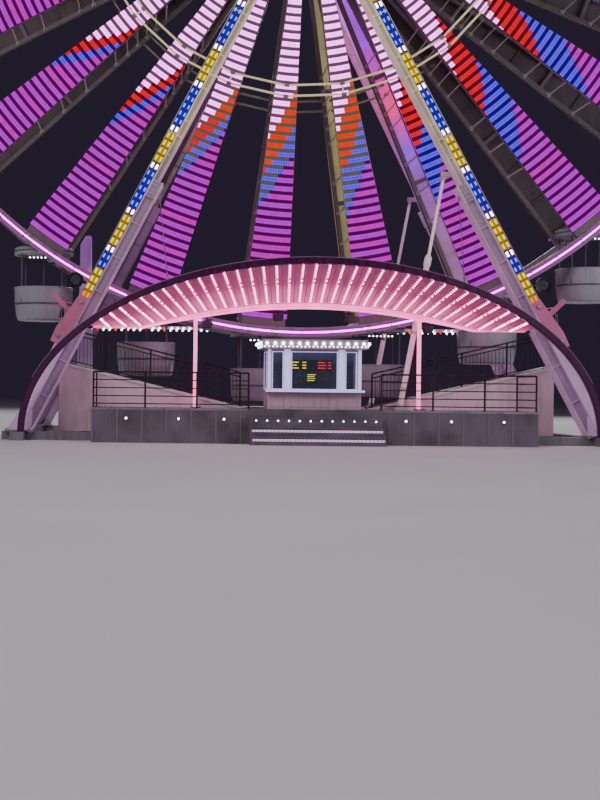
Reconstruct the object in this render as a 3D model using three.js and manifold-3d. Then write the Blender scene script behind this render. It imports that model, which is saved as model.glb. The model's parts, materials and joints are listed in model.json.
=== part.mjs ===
// Observation wheel with twenty-four hanging gondolas, on two A-frames, with a boarding
// platform, a swept canopy and a ticket kiosk. Millimetres, +Z up, the front faces -Y.
// The origin lies on the ground, straight below the hub.
import * as THREE from "three";
import { mergeVertices } from "three/addons/utils/BufferGeometryUtils.js";
import Module from "manifold-3d";

const wasm = await Module();
wasm.setup();

// Wheel
const HUB_HEIGHT = 17700;
const SPOKE_COUNT = 24;
const SPOKE_STEP = (2 * Math.PI) / SPOKE_COUNT;
const FIRST_SPOKE = THREE.MathUtils.degToRad(10.1);
const PLANE_Y = 1100;
const PIVOT_RADIUS = 14330;
const RIM_RADIAL = 310;
const RIM_WIDTH = 200;
const RIM_SIDES = 72;
const SPOKE_DEPTH = 220;
const STRINGER_WIDTH = 120;
const STRINGER_ANGLE = THREE.MathUtils.degToRad(2.5);
const SPOKE_START = 1100;
const SPOKE_OPENINGS = [[2900, 6300], [6420, 10000], [10120, 13820]];
const HUB_DISC_RADIUS = 1250;
const HUB_DISC_THICKNESS = 120;
const HUB_DRUM_RADIUS = 900;
const HUB_SPIGOT_RADIUS = 500;
const HUB_SPIGOT_END = 1420;
const AXLE_RADIUS = 150;
const AXLE_END = 2150;
const RING_RADII = [6640, 6980];
const RING_SECTION = 70;
const RING_LINK_EVERY = 4;

// Gondolas
const GONDOLA_SIDES = 8;
const TUB_RADIUS = 960;
const TUB_FLOOR_RADIUS = 820;
const TUB_WALL = 60;
const TUB_BOTTOM = -2250;
const TUB_TOP = -1200;
const TUB_FLOOR_THICKNESS = 100;
const CABIN_POST = 60;
const CABIN_POST_RADIUS = 925;
const ROOF_RADIUS = 1040;
const ROOF_BOTTOM = -150;
const ROOF_EDGE = 100;
const ROOF_TOP = 300;
const PIN_RADIUS = 60;
const PIN_SIDES = 6;
const PIN_END = 1090;
const PIN_HOLE_END = 1110;

// A-frames
const HEAD_Y = 1775;
const HEAD_NEAR = 1500;
const HEAD_FAR = 2250;
const HEAD_RADIUS = 1000;
const FOOT_X = 8745;
const FOOT_Y = 3400;
const LEG_APEX = 17350;
const LEG_OUTER = 150;
const LEG_INNER_HIGH = 330;
const LEG_INNER_LOW = 470;
const LEG_DEPTH = 500;
const SPLICE_HEIGHT = 7650;
const SPLICE_LENGTH = 560;
const SPLICE_EXTRA = 30;

// Base
const BASE_HEIGHT = 250;
const BASE_LENGTH_HALF = 9100;
const BASE_BEAM = 300;
const CROSS_BEAM = 400;
const CROSS_BEAM_X = [-8600, -7000, 0, 7000, 8600];
const OUTER_BEAM_X = 8600;
const CROSS_BEAM_END = 4150;

// Platform, ramps and steps
const DECK_HEIGHT = 1000;
const DECK_THICKNESS = 100;
const DECK_HALF = 6400;
const DECK_FRONT = -4850;
const DECK_REAR = 3000;
const SKIRT = 50;
const RAMP_START = 1800;
const RAMP_END = 7500;
const RAMP_SLOPE = Math.tan(THREE.MathUtils.degToRad(13.5));
const RAMP_FRONT = -2550;
const RAMP_REAR = -1500;
const RAMP_SKIN = 60;
const STEP_HALF = 1900;
const STEP_TREAD = 320;
const STEP_COUNT = 4;
const RAIL_HEIGHT = 1050;
const RAIL_SIZE = 50;
const POST_SIZE = 60;
const RAMP_RAIL_SHARES = [1, 0.88, 0.1];
const RAMP_POST_SPACING = 1800;
const DECK_RAIL_SHARES = [1, 0.78, 0.56, 0.34, 0.12];
const DECK_POST_SPACING = 1500;

// Canopy
const ARCH_HALF = 8500;
const ARCH_RISE = 4990;
const ARCH_SIZE = 200;
const ARCH_FRONT = -5100;
const ARCH_SWEEP = 1200;
const ARCH_STEPS = 36;
const SHELL_STEPS = 26;
const SHELL_END_X = 6450;
const SHELL_THICKNESS = 60;
const INNER_RATIO = 0.8;
const INNER_SPREAD = 8;
const INNER_Y = -3000;
const INNER_LOW = 3400;
const INNER_RISE = 700;
const INNER_HALF = 4950;
const INNER_BEAM_HEIGHT = 180;
const INNER_BEAM_DEPTH = 120;
const INNER_BEAM_END = 6500;
const CANOPY_POST_X = 3350;
const CANOPY_POST = 180;
const STAY_RADIUS = 15;
const STAY_TOP = 7500;
const STAY_FOOT_X = 4240;

// Kiosk
const KIOSK_HALF = 1350;
const KIOSK_FRONT = -4600;
const KIOSK_REAR = -3250;
const KIOSK_TOP = 2730;
const KIOSK_WALL = 60;
const KIOSK_ROOF_HALF = 1500;
const KIOSK_ROOF_OVERHANG = 175;
const KIOSK_ROOF_TOP = 3000;
const WINDOW_LOW = 1570;
const WINDOW_HIGH = 2670;
const SHELF_DEPTH = 240;
const SHELF_LOW = 1500;
const SHELF_HIGH = 1560;
const FRONT_WINDOWS = [[-1220, -890], [-670, 670], [890, 1220]];
const DOOR_HALF = 400;
const DOOR_TOP = 2620;
const DOOR_THICKNESS = 40;
const DOOR_CLEARANCE = 6;
const HINGE_RADIUS = 15;

// Festoon beam, mast and struts
const FESTOON_Y = 2500;
const FESTOON_HEIGHT = 3640;
const FESTOON_SIZE = 100;
const FESTOON_HALF = 6900;
const MAST_X = -6950;
const MAST_Y = 2000;
const MAST_TOP = 6680;
const MAST_TOP_SIZE = 360;
const MAST_FOOT_SIZE = 560;
const STRUT_HEAD = { x: 4080, z: 8120 };
const STRUT_FOOT = { x: 2800, y: 2720 };
const STRUT_TUBE = 90;
const STRUT_ROD = 52;
const STRUT_COLLAR = 112;
const STRUT_SIDES = 10;
const STRUT_TUBE_SPAN = [-0.02, 0.62];
const STRUT_COLLAR_SPAN = [0.61, 0.65];
const STRUT_ROD_START = 0.6;
const STRUT_LUG_HEIGHT = 160;
const STRUT_LUG_DEPTH = 120;

const GAP = 0.3;
const UP = new THREE.Vector3(0, 0, 1);
const BACK = new THREE.Vector3(0, 1, 0);
const HUB = new THREE.Vector3(0, 0, HUB_HEIGHT);

const PAINT = {
  white: { color: 0xd9d3dc, roughness: 0.45, metalness: 0.15 },
  grey: { color: 0x77736a, roughness: 0.55, metalness: 0.35 },
  steel: { color: 0xa9a7ab, roughness: 0.3, metalness: 0.8 },
  black: { color: 0x17141b, roughness: 0.5, metalness: 0.3 },
  pink: { color: 0xb98aa4, roughness: 0.6, metalness: 0.05 },
  deck: { color: 0x55505a, roughness: 0.8, metalness: 0.2 },
  cabin: { color: 0xcfcfd6, roughness: 0.4, metalness: 0.1 },
};

function toSolid(geometry) {
  const bare = geometry.clone();
  bare.deleteAttribute("normal");
  bare.deleteAttribute("uv");
  const merged = mergeVertices(bare, 1e-3);
  const mesh = new wasm.Mesh({
    numProp: 3,
    vertProperties: new Float32Array(merged.attributes.position.array),
    triVerts: new Uint32Array(merged.index.array),
  });
  mesh.merge();
  return new wasm.Manifold(mesh);
}

function toGeometry(solid) {
  const mesh = solid.getMesh();
  const geometry = new THREE.BufferGeometry();
  geometry.setAttribute("position", new THREE.BufferAttribute(mesh.vertProperties, 3));
  geometry.setIndex(new THREE.BufferAttribute(mesh.triVerts, 1));
  geometry.computeVertexNormals();
  return geometry;
}

function sorted(one, other) {
  return one < other ? [one, other] : [other, one];
}

function join(solids) {
  return solids.reduce((sum, solid) => sum.add(solid));
}

// A box between two opposite corners.
function block(low, high) {
  const size = low.map((value, axis) => high[axis] - value);
  const geometry = new THREE.BoxGeometry(...size);
  geometry.translate(...low.map((value, axis) => value + size[axis] / 2));
  return toSolid(geometry);
}

// A box along the line from one point to another. Its depth lies as near as can be to depthHint.
function beam(from, to, width, depth, depthHint = BACK) {
  const along = to.clone().sub(from);
  const length = along.length();
  along.normalize();
  const widthDirection = new THREE.Vector3().crossVectors(depthHint, along).normalize();
  const depthDirection = new THREE.Vector3().crossVectors(along, widthDirection);
  const geometry = new THREE.BoxGeometry(width, depth, length);
  const frame = new THREE.Matrix4().makeBasis(widthDirection, depthDirection, along);
  frame.setPosition(from.clone().add(to).multiplyScalar(0.5));
  geometry.applyMatrix4(frame);
  return toSolid(geometry);
}

// A round bar with flat sides along the line from one point to another.
function bar(from, to, radius, sides, turn = 0) {
  const along = to.clone().sub(from);
  const geometry = new THREE.CylinderGeometry(radius, radius, along.length(), sides, 1, false, turn);
  const tilt = new THREE.Quaternion().setFromUnitVectors(BACK, along.clone().normalize());
  geometry.applyQuaternion(tilt);
  const middle = from.clone().add(to).multiplyScalar(0.5);
  geometry.translate(middle.x, middle.y, middle.z);
  return toSolid(geometry);
}

// A prism about a line parallel to Y. Its first corner points along turn, measured from +Z.
function prismY(centre, radius, fromY, toY, sides, turn = 0) {
  const geometry = new THREE.CylinderGeometry(radius, radius, toY - fromY, sides, 1, false, turn);
  geometry.translate(centre.x, (fromY + toY) / 2, centre.z);
  return toSolid(geometry);
}

// A ring about the hub's axis, with a rectangular section.
function ringY(inner, outer, fromY, toY, sides, turn) {
  const section = [[inner, fromY], [outer, fromY], [outer, toY], [inner, toY], [inner, fromY]];
  const points = section.map(([radius, y]) => new THREE.Vector2(radius, y));
  const geometry = new THREE.LatheGeometry(points, sides, turn);
  geometry.translate(0, 0, HUB_HEIGHT);
  return toSolid(geometry);
}

// A straight box whose corners are moved: place(along, side, height) gives each one's position,
// with along from -1 to 1 and side and height each -1 or 1.
function ribbon(steps, place) {
  const geometry = new THREE.BoxGeometry(2, 2, 2, steps, 1, 1);
  const position = geometry.attributes.position;
  for (let index = 0; index < position.count; index += 1) {
    const corner = place(position.getX(index), position.getY(index), position.getZ(index));
    position.setXYZ(index, corner.x, corner.y, corner.z);
  }
  return toSolid(geometry);
}

function spokeAngle(index) {
  return FIRST_SPOKE + index * SPOKE_STEP;
}

// A point at a radius from the hub, with the angle measured from straight down towards +X.
function wheelPoint(radius, angle, y = 0) {
  return new THREE.Vector3(radius * Math.sin(angle), y, HUB_HEIGHT - radius * Math.cos(angle));
}

const LATHE_TURN = Math.PI - FIRST_SPOKE;
const RIM_INNER = PIVOT_RADIUS - RIM_RADIAL / 2;
const RIM_OUTER = PIVOT_RADIUS + RIM_RADIAL / 2;

// A spoke is a tapered ladder: two stringers on radial lines, closed by cross pieces. It ends a
// gap short of the two flats of the rim that meet on its centre line.
function ladder(index, y) {
  const rimFlat = RIM_INNER * Math.cos(Math.PI / RIM_SIDES) - GAP;
  const sine = Math.sin(STRINGER_ANGLE);
  const cosine = Math.cos(STRINGER_ANGLE);
  const halfOut = (radius) => (radius * sine + STRINGER_WIDTH / 2) / cosine;
  const halfIn = (radius) => (radius * sine - STRINGER_WIDTH / 2) / cosine;
  const endHalf = rimFlat * sine + (STRINGER_WIDTH / 2) * cosine;
  const endRadius = rimFlat * cosine - (STRINGER_WIDTH / 2) * sine;
  const outline = new THREE.Shape();
  outline.moveTo(SPOKE_START, -halfOut(SPOKE_START));
  outline.lineTo(endRadius, -endHalf);
  outline.lineTo(rimFlat / cosine, 0);
  outline.lineTo(endRadius, endHalf);
  outline.lineTo(SPOKE_START, halfOut(SPOKE_START));
  for (const [near, far] of SPOKE_OPENINGS) {
    const opening = new THREE.Path();
    opening.moveTo(near, -halfIn(near));
    opening.lineTo(near, halfIn(near));
    opening.lineTo(far, halfIn(far));
    opening.lineTo(far, -halfIn(far));
    outline.holes.push(opening);
  }
  const geometry = new THREE.ExtrudeGeometry(outline, { depth: SPOKE_DEPTH, bevelEnabled: false });
  geometry.translate(0, 0, -SPOKE_DEPTH / 2);
  const angle = spokeAngle(index);
  const outward = new THREE.Vector3(Math.sin(angle), 0, -Math.cos(angle));
  const sideways = new THREE.Vector3().crossVectors(BACK, outward);
  const frame = new THREE.Matrix4().makeBasis(outward, sideways, BACK);
  frame.setPosition(0, y, HUB_HEIGHT);
  geometry.applyMatrix4(frame);
  return toSolid(geometry);
}

const HUB_SIDES = 12;

// Half of one plane's spokes, with its half of the hub disc. The disc is parted midway between
// two spokes.
function spokes(side, across) {
  const y = side * PLANE_Y;
  const half = HUB_DISC_THICKNESS / 2;
  const holeRadius = HUB_SPIGOT_RADIUS + GAP / Math.cos(Math.PI / HUB_SIDES);
  const disc = ringY(holeRadius, HUB_DISC_RADIUS, y - half, y + half, HUB_SIDES, LATHE_TURN);
  const size = 4 * HUB_DISC_RADIUS;
  const keep = new THREE.BoxGeometry(size, 4 * PLANE_Y, size);
  keep.translate((across * (size + GAP)) / 2, 0, 0);
  keep.rotateY(SPOKE_STEP / 2 - FIRST_SPOKE);
  keep.translate(0, 0, HUB_HEIGHT);
  const parts = [disc.intersect(toSolid(keep))];
  const start = across > 0 ? 0 : SPOKE_COUNT / 2;
  for (let index = start; index < start + SPOKE_COUNT / 2; index += 1) {
    parts.push(ladder(index, y));
  }
  return join(parts);
}

function hub() {
  const shoulder = PLANE_Y - HUB_DISC_THICKNESS / 2 - GAP;
  const half = [
    [0, AXLE_END],
    [AXLE_RADIUS, AXLE_END],
    [AXLE_RADIUS, HUB_SPIGOT_END],
    [HUB_SPIGOT_RADIUS, HUB_SPIGOT_END],
    [HUB_SPIGOT_RADIUS, shoulder],
    [HUB_DRUM_RADIUS, shoulder],
  ];
  const front = half.map(([radius, y]) => new THREE.Vector2(radius, -y));
  const rear = half.map(([radius, y]) => new THREE.Vector2(radius, y)).reverse();
  const geometry = new THREE.LatheGeometry([...front, ...rear], HUB_SIDES, LATHE_TURN);
  geometry.translate(0, 0, HUB_HEIGHT);
  return toSolid(geometry);
}

// The rims carry the gondolas' pins in blind holes. A pin's corners face the hole's flats.
function rim(side) {
  const y = side * PLANE_Y;
  const half = RIM_WIDTH / 2;
  let solid = ringY(RIM_INNER, RIM_OUTER, y - half, y + half, RIM_SIDES, LATHE_TURN);
  const holeRadius = (PIN_RADIUS + GAP) / Math.cos(Math.PI / PIN_SIDES);
  for (let index = 0; index < SPOKE_COUNT; index += 1) {
    const pivot = wheelPoint(PIVOT_RADIUS, spokeAngle(index));
    const [low, high] = sorted(side * (PLANE_Y - RIM_WIDTH), side * PIN_HOLE_END);
    solid = solid.subtract(prismY(pivot, holeRadius, low, high, PIN_SIDES, Math.PI / PIN_SIDES));
  }
  return solid;
}

// Two tube rings, straight from spoke to spoke, on the outer faces of the spokes.
function innerRings(side) {
  const face = PLANE_Y + SPOKE_DEPTH / 2 + GAP;
  const [low, high] = sorted(side * face, side * (face + RING_SECTION));
  const parts = RING_RADII.map((radius) =>
    ringY(radius - RING_SECTION / 2, radius + RING_SECTION / 2, low, high, SPOKE_COUNT, LATHE_TURN));
  for (let index = 0; index < SPOKE_COUNT; index += RING_LINK_EVERY) {
    const angle = spokeAngle(index);
    const middle = (low + high) / 2;
    const from = wheelPoint(RING_RADII[0], angle, middle);
    const to = wheelPoint(RING_RADII[1], angle, middle);
    parts.push(beam(from, to, RING_SECTION, RING_SECTION));
  }
  return join(parts);
}

function latheZ(points, sides, turn) {
  const profile = points.map(([radius, z]) => new THREE.Vector2(radius, z));
  const geometry = new THREE.LatheGeometry(profile, sides, turn);
  geometry.rotateX(Math.PI / 2);
  return toSolid(geometry);
}

// One gondola about its own pivot, before it is placed on the wheel.
function gondola() {
  const half = Math.PI / GONDOLA_SIDES;
  const floor = TUB_BOTTOM + TUB_FLOOR_THICKNESS;
  const tub = latheZ([
    [0, TUB_BOTTOM],
    [TUB_FLOOR_RADIUS, TUB_BOTTOM],
    [TUB_RADIUS, TUB_TOP],
    [TUB_RADIUS - TUB_WALL, TUB_TOP],
    [TUB_FLOOR_RADIUS - TUB_WALL, floor],
    [0, floor],
  ], GONDOLA_SIDES, half);
  const roof = latheZ([
    [0, ROOF_BOTTOM],
    [ROOF_RADIUS, ROOF_BOTTOM],
    [ROOF_RADIUS, ROOF_EDGE],
    [0, ROOF_TOP],
  ], GONDOLA_SIDES, half);
  const parts = [tub, roof];
  for (let quarter = 0; quarter < 4; quarter += 1) {
    const angle = Math.PI / 4 + (quarter * Math.PI) / 2;
    const foot = new THREE.Vector3(Math.cos(angle), Math.sin(angle), 0)
      .multiplyScalar(CABIN_POST_RADIUS * Math.cos(half));
    const from = foot.clone().setZ(TUB_TOP - CABIN_POST / 2);
    const to = foot.clone().setZ(ROOF_BOTTOM + CABIN_POST / 2);
    parts.push(beam(from, to, CABIN_POST, CABIN_POST / 2, foot));
  }
  const origin = new THREE.Vector3(0, 0, 0);
  const inside = ROOF_RADIUS / 2;
  parts.push(prismY(origin, PIN_RADIUS, -PIN_END, -inside, PIN_SIDES));
  parts.push(prismY(origin, PIN_RADIUS, inside, PIN_END, PIN_SIDES));
  return join(parts);
}

const HEAD_SIDES = 12;

function bearingBody(side, grow = 0) {
  const radius = HEAD_RADIUS + grow / Math.cos(Math.PI / HEAD_SIDES);
  const [low, high] = sorted(side * HEAD_NEAR, side * HEAD_FAR);
  return prismY(HUB, radius, low - grow, high + grow, HEAD_SIDES, Math.PI / HEAD_SIDES);
}

function bearing(side) {
  const holeRadius = (AXLE_RADIUS + GAP) / Math.cos(Math.PI / HUB_SIDES);
  const turn = LATHE_TURN + Math.PI / HUB_SIDES;
  const hole = prismY(HUB, holeRadius, -2 * HEAD_FAR, 2 * HEAD_FAR, HUB_SIDES, turn);
  return bearingBody(side).subtract(hole);
}

const LEG_SLOPE = FOOT_X / (LEG_APEX - BASE_HEIGHT);
const LEG_LEAN = (FOOT_Y - HEAD_Y) / (HUB_HEIGHT - BASE_HEIGHT);

// A point on the middle line of a leg's light panel at a height above the ground, or inward of it,
// measured square to the leg.
function legPoint(across, side, height, inward = 0) {
  const x = LEG_SLOPE * (LEG_APEX - height) - inward * Math.hypot(1, LEG_SLOPE);
  return new THREE.Vector3(across * x, side * (HEAD_Y + LEG_LEAN * (HUB_HEIGHT - height)), height);
}

// A stretch of box girder that reaches inner and outer from the panel's middle line.
function girder(across, side, [low, high], inner, outer, depth) {
  const inward = (inner - outer) / 2;
  const from = legPoint(across, side, low, inward);
  const to = legPoint(across, side, high, inward);
  return beam(from, to, inner + outer, depth);
}

// A leg: a slim girder above a wide one, joined in a splice collar, cut level at the foot and
// trimmed to the bearing and to the other leg.
function leg(across, side, grow = 0) {
  const outer = LEG_OUTER + grow;
  const depth = LEG_DEPTH + 2 * grow;
  const lap = SPLICE_LENGTH / 4;
  const low = SPLICE_HEIGHT - SPLICE_LENGTH / 2 - grow;
  const high = SPLICE_HEIGHT + SPLICE_LENGTH / 2 + grow;
  const inner = LEG_INNER_LOW + grow;
  const parts = [
    girder(across, side, [SPLICE_HEIGHT + lap, HUB_HEIGHT], LEG_INNER_HIGH + grow, outer, depth),
    girder(across, side, [-BASE_HEIGHT, SPLICE_HEIGHT - lap], inner, outer, depth),
    girder(across, side, [low, high], inner + SPLICE_EXTRA, outer + SPLICE_EXTRA, depth + 2 * SPLICE_EXTRA),
  ];
  const far = 2 * FOOT_X;
  const ground = block([-far, -far, -far], [far, far, BASE_HEIGHT + GAP - grow]);
  const [left, right] = sorted(-across * far, across * (GAP / 2 - grow));
  const otherSide = block([left, -far, -far], [right, far, far]);
  return join(parts).subtract(ground).subtract(otherSide).subtract(bearingBody(side, GAP - grow));
}

function baseFrame(grow = 0) {
  const top = BASE_HEIGHT + grow;
  const half = BASE_BEAM / 2 + grow;
  const end = BASE_LENGTH_HALF + grow;
  const parts = [-FOOT_Y, FOOT_Y].map((y) => block([-end, y - half, -grow], [end, y + half, top]));
  for (const x of CROSS_BEAM_X) {
    const crossHalf = CROSS_BEAM / 2 + grow;
    const reach = CROSS_BEAM_END + grow;
    const outer = Math.abs(x) === OUTER_BEAM_X;
    const from = outer ? -reach : -FOOT_Y;
    parts.push(block([x - crossHalf, from, -grow], [x + crossHalf, outer ? reach : FOOT_Y, top]));
  }
  return join(parts);
}

// The deck with a skirt on all four sides, open underneath, notched over the base beams.
function platform() {
  const outer = block([-DECK_HALF, DECK_FRONT, 0], [DECK_HALF, DECK_REAR, DECK_HEIGHT]);
  const inner = block(
    [SKIRT - DECK_HALF, DECK_FRONT + SKIRT, -SKIRT],
    [DECK_HALF - SKIRT, DECK_REAR - SKIRT, DECK_HEIGHT - DECK_THICKNESS],
  );
  return outer.subtract(inner).subtract(baseFrame(GAP));
}

function frontSteps() {
  const rise = DECK_HEIGHT / STEP_COUNT;
  const front = DECK_FRONT - GAP;
  const outline = new THREE.Shape();
  outline.moveTo(front, 0);
  for (let step = 1; step < STEP_COUNT; step += 1) {
    outline.lineTo(front - (STEP_COUNT - step) * STEP_TREAD, (step - 1) * rise);
    outline.lineTo(front - (STEP_COUNT - step) * STEP_TREAD, step * rise);
  }
  outline.lineTo(front, (STEP_COUNT - 1) * rise);
  return toSolid(extrudeAlongX(outline, -STEP_HALF, STEP_HALF));
}

// Extrudes an outline drawn in Y and Z from one X to another.
function extrudeAlongX(outline, fromX, toX) {
  const geometry = new THREE.ExtrudeGeometry(outline, { depth: toX - fromX, bevelEnabled: false });
  const frame = new THREE.Matrix4().makeBasis(BACK, UP, new THREE.Vector3(1, 0, 0));
  frame.setPosition(fromX, 0, 0);
  geometry.applyMatrix4(frame);
  return geometry;
}

// Extrudes an outline drawn in X and Z from one Y to another.
function extrudeAlongY(outline, fromY, toY) {
  const geometry = new THREE.ExtrudeGeometry(outline, { depth: toY - fromY, bevelEnabled: false });
  geometry.rotateX(Math.PI / 2);
  geometry.translate(0, toY, 0);
  return geometry;
}

function polygon(points) {
  const shape = new THREE.Shape();
  points.forEach(([x, y], index) => (index ? shape.lineTo(x, y) : shape.moveTo(x, y)));
  return shape;
}

function rampHeight(x) {
  return DECK_HEIGHT + GAP + (x - RAMP_START) * RAMP_SLOPE;
}

// A boarding ramp climbs outward along the wheel. Its panels leave it hollow underneath, and its
// outer end stands on the base.
function ramp(across) {
  const deckEdge = DECK_HALF + GAP;
  const deckTop = DECK_HEIGHT + GAP;
  const baseTop = BASE_HEIGHT + GAP;
  const outer = polygon([
    [RAMP_START, deckTop],
    [deckEdge, deckTop],
    [deckEdge, baseTop],
    [RAMP_END, baseTop],
    [RAMP_END, rampHeight(RAMP_END)],
  ]);
  const hollowStart = RAMP_START + (2 * RAMP_SKIN) / RAMP_SLOPE;
  const hollowEnd = RAMP_END - RAMP_SKIN;
  const hollow = polygon([
    [hollowStart, deckTop - RAMP_SKIN],
    [deckEdge + RAMP_SKIN, deckTop - RAMP_SKIN],
    [deckEdge + RAMP_SKIN, baseTop - RAMP_SKIN],
    [hollowEnd, baseTop - RAMP_SKIN],
    [hollowEnd, rampHeight(hollowEnd) - RAMP_SKIN],
    [hollowStart, rampHeight(hollowStart) - RAMP_SKIN],
  ]);
  const solid = toSolid(extrudeAlongY(outer, RAMP_FRONT, RAMP_REAR))
    .subtract(toSolid(extrudeAlongY(hollow, RAMP_FRONT + RAMP_SKIN, RAMP_REAR - RAMP_SKIN)));
  return across > 0 ? solid : solid.mirror([1, 0, 0]);
}

// A fence along a line of points: posts, a top rail and lower rails at shares of its height.
function fence(points, shares, spacing) {
  const parts = [];
  for (let index = 1; index < points.length; index += 1) {
    const from = points[index - 1];
    const to = points[index];
    const length = from.distanceTo(to);
    const bays = Math.max(1, Math.round(length / spacing));
    for (let bay = 0; bay <= bays; bay += 1) {
      const foot = from.clone().lerp(to, bay / bays);
      const top = foot.clone().add(new THREE.Vector3(0, 0, RAIL_HEIGHT));
      parts.push(beam(foot, top, POST_SIZE, POST_SIZE));
    }
    for (const share of shares) {
      const lift = new THREE.Vector3(0, 0, share * RAIL_HEIGHT - RAIL_SIZE / 2);
      parts.push(beam(from.clone().add(lift), to.clone().add(lift), RAIL_SIZE * 0.7, RAIL_SIZE, UP));
    }
  }
  return join(parts);
}

function rampRailing(across) {
  const front = RAMP_FRONT + POST_SIZE;
  const startX = RAMP_START + 200;
  const endX = RAMP_END - POST_SIZE;
  const corner = (x, y) => new THREE.Vector3(across * x, y, rampHeight(x) - POST_SIZE * RAMP_SLOPE);
  const rear = RAMP_REAR - POST_SIZE;
  const corners = [corner(startX, front), corner(endX, front), corner(endX, rear)];
  const railing = fence(corners, RAMP_RAIL_SHARES, RAMP_POST_SPACING);
  const far = 2 * RAMP_END;
  const above = 2 * GAP;
  const slab = polygon([
    [-far, rampHeight(-far) + above],
    [far, rampHeight(far) + above],
    [far, -far],
    [-far, -far],
  ]);
  const under = toSolid(extrudeAlongY(slab, RAMP_FRONT - POST_SIZE, RAMP_REAR + POST_SIZE));
  return railing.subtract(across > 0 ? under : under.mirror([1, 0, 0]));
}

function deckRailing(across) {
  const z = DECK_HEIGHT + GAP;
  const front = DECK_FRONT + POST_SIZE;
  const outer = DECK_HALF - POST_SIZE;
  const points = [
    new THREE.Vector3(across * STEP_HALF, front, z),
    new THREE.Vector3(across * outer, front, z),
    new THREE.Vector3(across * outer, RAMP_FRONT - 3 * POST_SIZE, z),
  ];
  return fence(points, DECK_RAIL_SHARES, DECK_POST_SPACING);
}

// The arch's centre line at an angle from its crown.
function archPoint(angle) {
  const x = ARCH_HALF * Math.sin(angle);
  const y = ARCH_FRONT + ARCH_SWEEP * Math.sin(angle) ** 2;
  return new THREE.Vector3(x, y, BASE_HEIGHT + GAP + ARCH_RISE * Math.cos(angle));
}

function arch(grow = 0) {
  const half = ARCH_SIZE / 2 + grow;
  return ribbon(ARCH_STEPS, (along, side, height) => {
    const angle = (along * Math.PI) / 2;
    const centre = archPoint(angle);
    const outward = new THREE.Vector3(ARCH_RISE * Math.sin(angle), 0, ARCH_HALF * Math.cos(angle));
    centre.addScaledVector(outward.normalize(), height * half);
    centre.y += side * half;
    return centre;
  });
}

function innerHeight(x) {
  return INNER_LOW + INNER_RISE * Math.max(0, 1 - (x / INNER_HALF) ** 2);
}

// The canopy's skin is ruled from the front arch to the inner beam, and closes to a point at
// both ends.
function canopyRoof() {
  const endAngle = Math.asin(SHELL_END_X / ARCH_HALF);
  const skin = ribbon(SHELL_STEPS, (along, side, height) => {
    const angle = along * endAngle;
    const front = archPoint(angle);
    front.y += ARCH_SIZE / 4;
    const spread = Math.abs(front.x / SHELL_END_X) ** INNER_SPREAD;
    const x = front.x * (INNER_RATIO + (1 - INNER_RATIO) * spread);
    const rear = new THREE.Vector3(x, INNER_Y - INNER_BEAM_DEPTH / 2 - GAP, innerHeight(x));
    const point = side < 0 ? front : rear;
    point.z += (height * SHELL_THICKNESS) / 2;
    return point;
  });
  return skin.subtract(arch(GAP)).subtract(leg(-1, -1, GAP)).subtract(leg(1, -1, GAP));
}

// The inner beam with its two posts and the brackets to the front legs.
function canopyBeam() {
  const halfDepth = INNER_BEAM_DEPTH / 2;
  const rail = ribbon(SHELL_STEPS, (along, side, height) => {
    const x = along * INNER_BEAM_END;
    const z = innerHeight(x) + (height * INNER_BEAM_HEIGHT) / 2;
    return new THREE.Vector3(x, INNER_Y + side * halfDepth, z);
  });
  const parts = [rail];
  for (const across of [-1, 1]) {
    const x = across * CANOPY_POST_X;
    const post = CANOPY_POST / 2;
    parts.push(block(
      [x - post, INNER_Y - halfDepth, DECK_HEIGHT + GAP],
      [x + post, INNER_Y + halfDepth, innerHeight(x)],
    ));
    const inboard = across * (INNER_BEAM_END - CANOPY_POST);
    const [left, right] = sorted(inboard, across * (INNER_BEAM_END + 2 * CANOPY_POST));
    const bracketHalf = INNER_BEAM_HEIGHT / 3;
    parts.push(block(
      [left, INNER_Y - halfDepth + 1, INNER_LOW - bracketHalf],
      [right, INNER_Y + halfDepth, INNER_LOW + bracketHalf],
    ));
  }
  return join(parts).subtract(leg(-1, -1, GAP)).subtract(leg(1, -1, GAP));
}

// A thin rod holds the canopy's arch up to each front leg.
function canopyStay(across) {
  const top = legPoint(across, -1, STAY_TOP, LEG_INNER_LOW - STAY_RADIUS);
  const foot = archPoint(across * Math.asin(STAY_FOOT_X / ARCH_HALF));
  return bar(foot, top, STAY_RADIUS, 6).subtract(arch(GAP)).subtract(leg(across, -1, GAP));
}

const KIOSK_FLOOR = DECK_HEIGHT + GAP;
const HINGE = new THREE.Vector2(DOOR_HALF, KIOSK_REAR + HINGE_RADIUS * 1.5);
const LUG = 60;

function hingeBar(radius, low, high, turn) {
  const geometry = new THREE.CylinderGeometry(radius, radius, high - low, 8, 1, false, turn);
  geometry.rotateX(Math.PI / 2);
  geometry.translate(HINGE.x, HINGE.y, (low + high) / 2);
  return toSolid(geometry);
}

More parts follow.
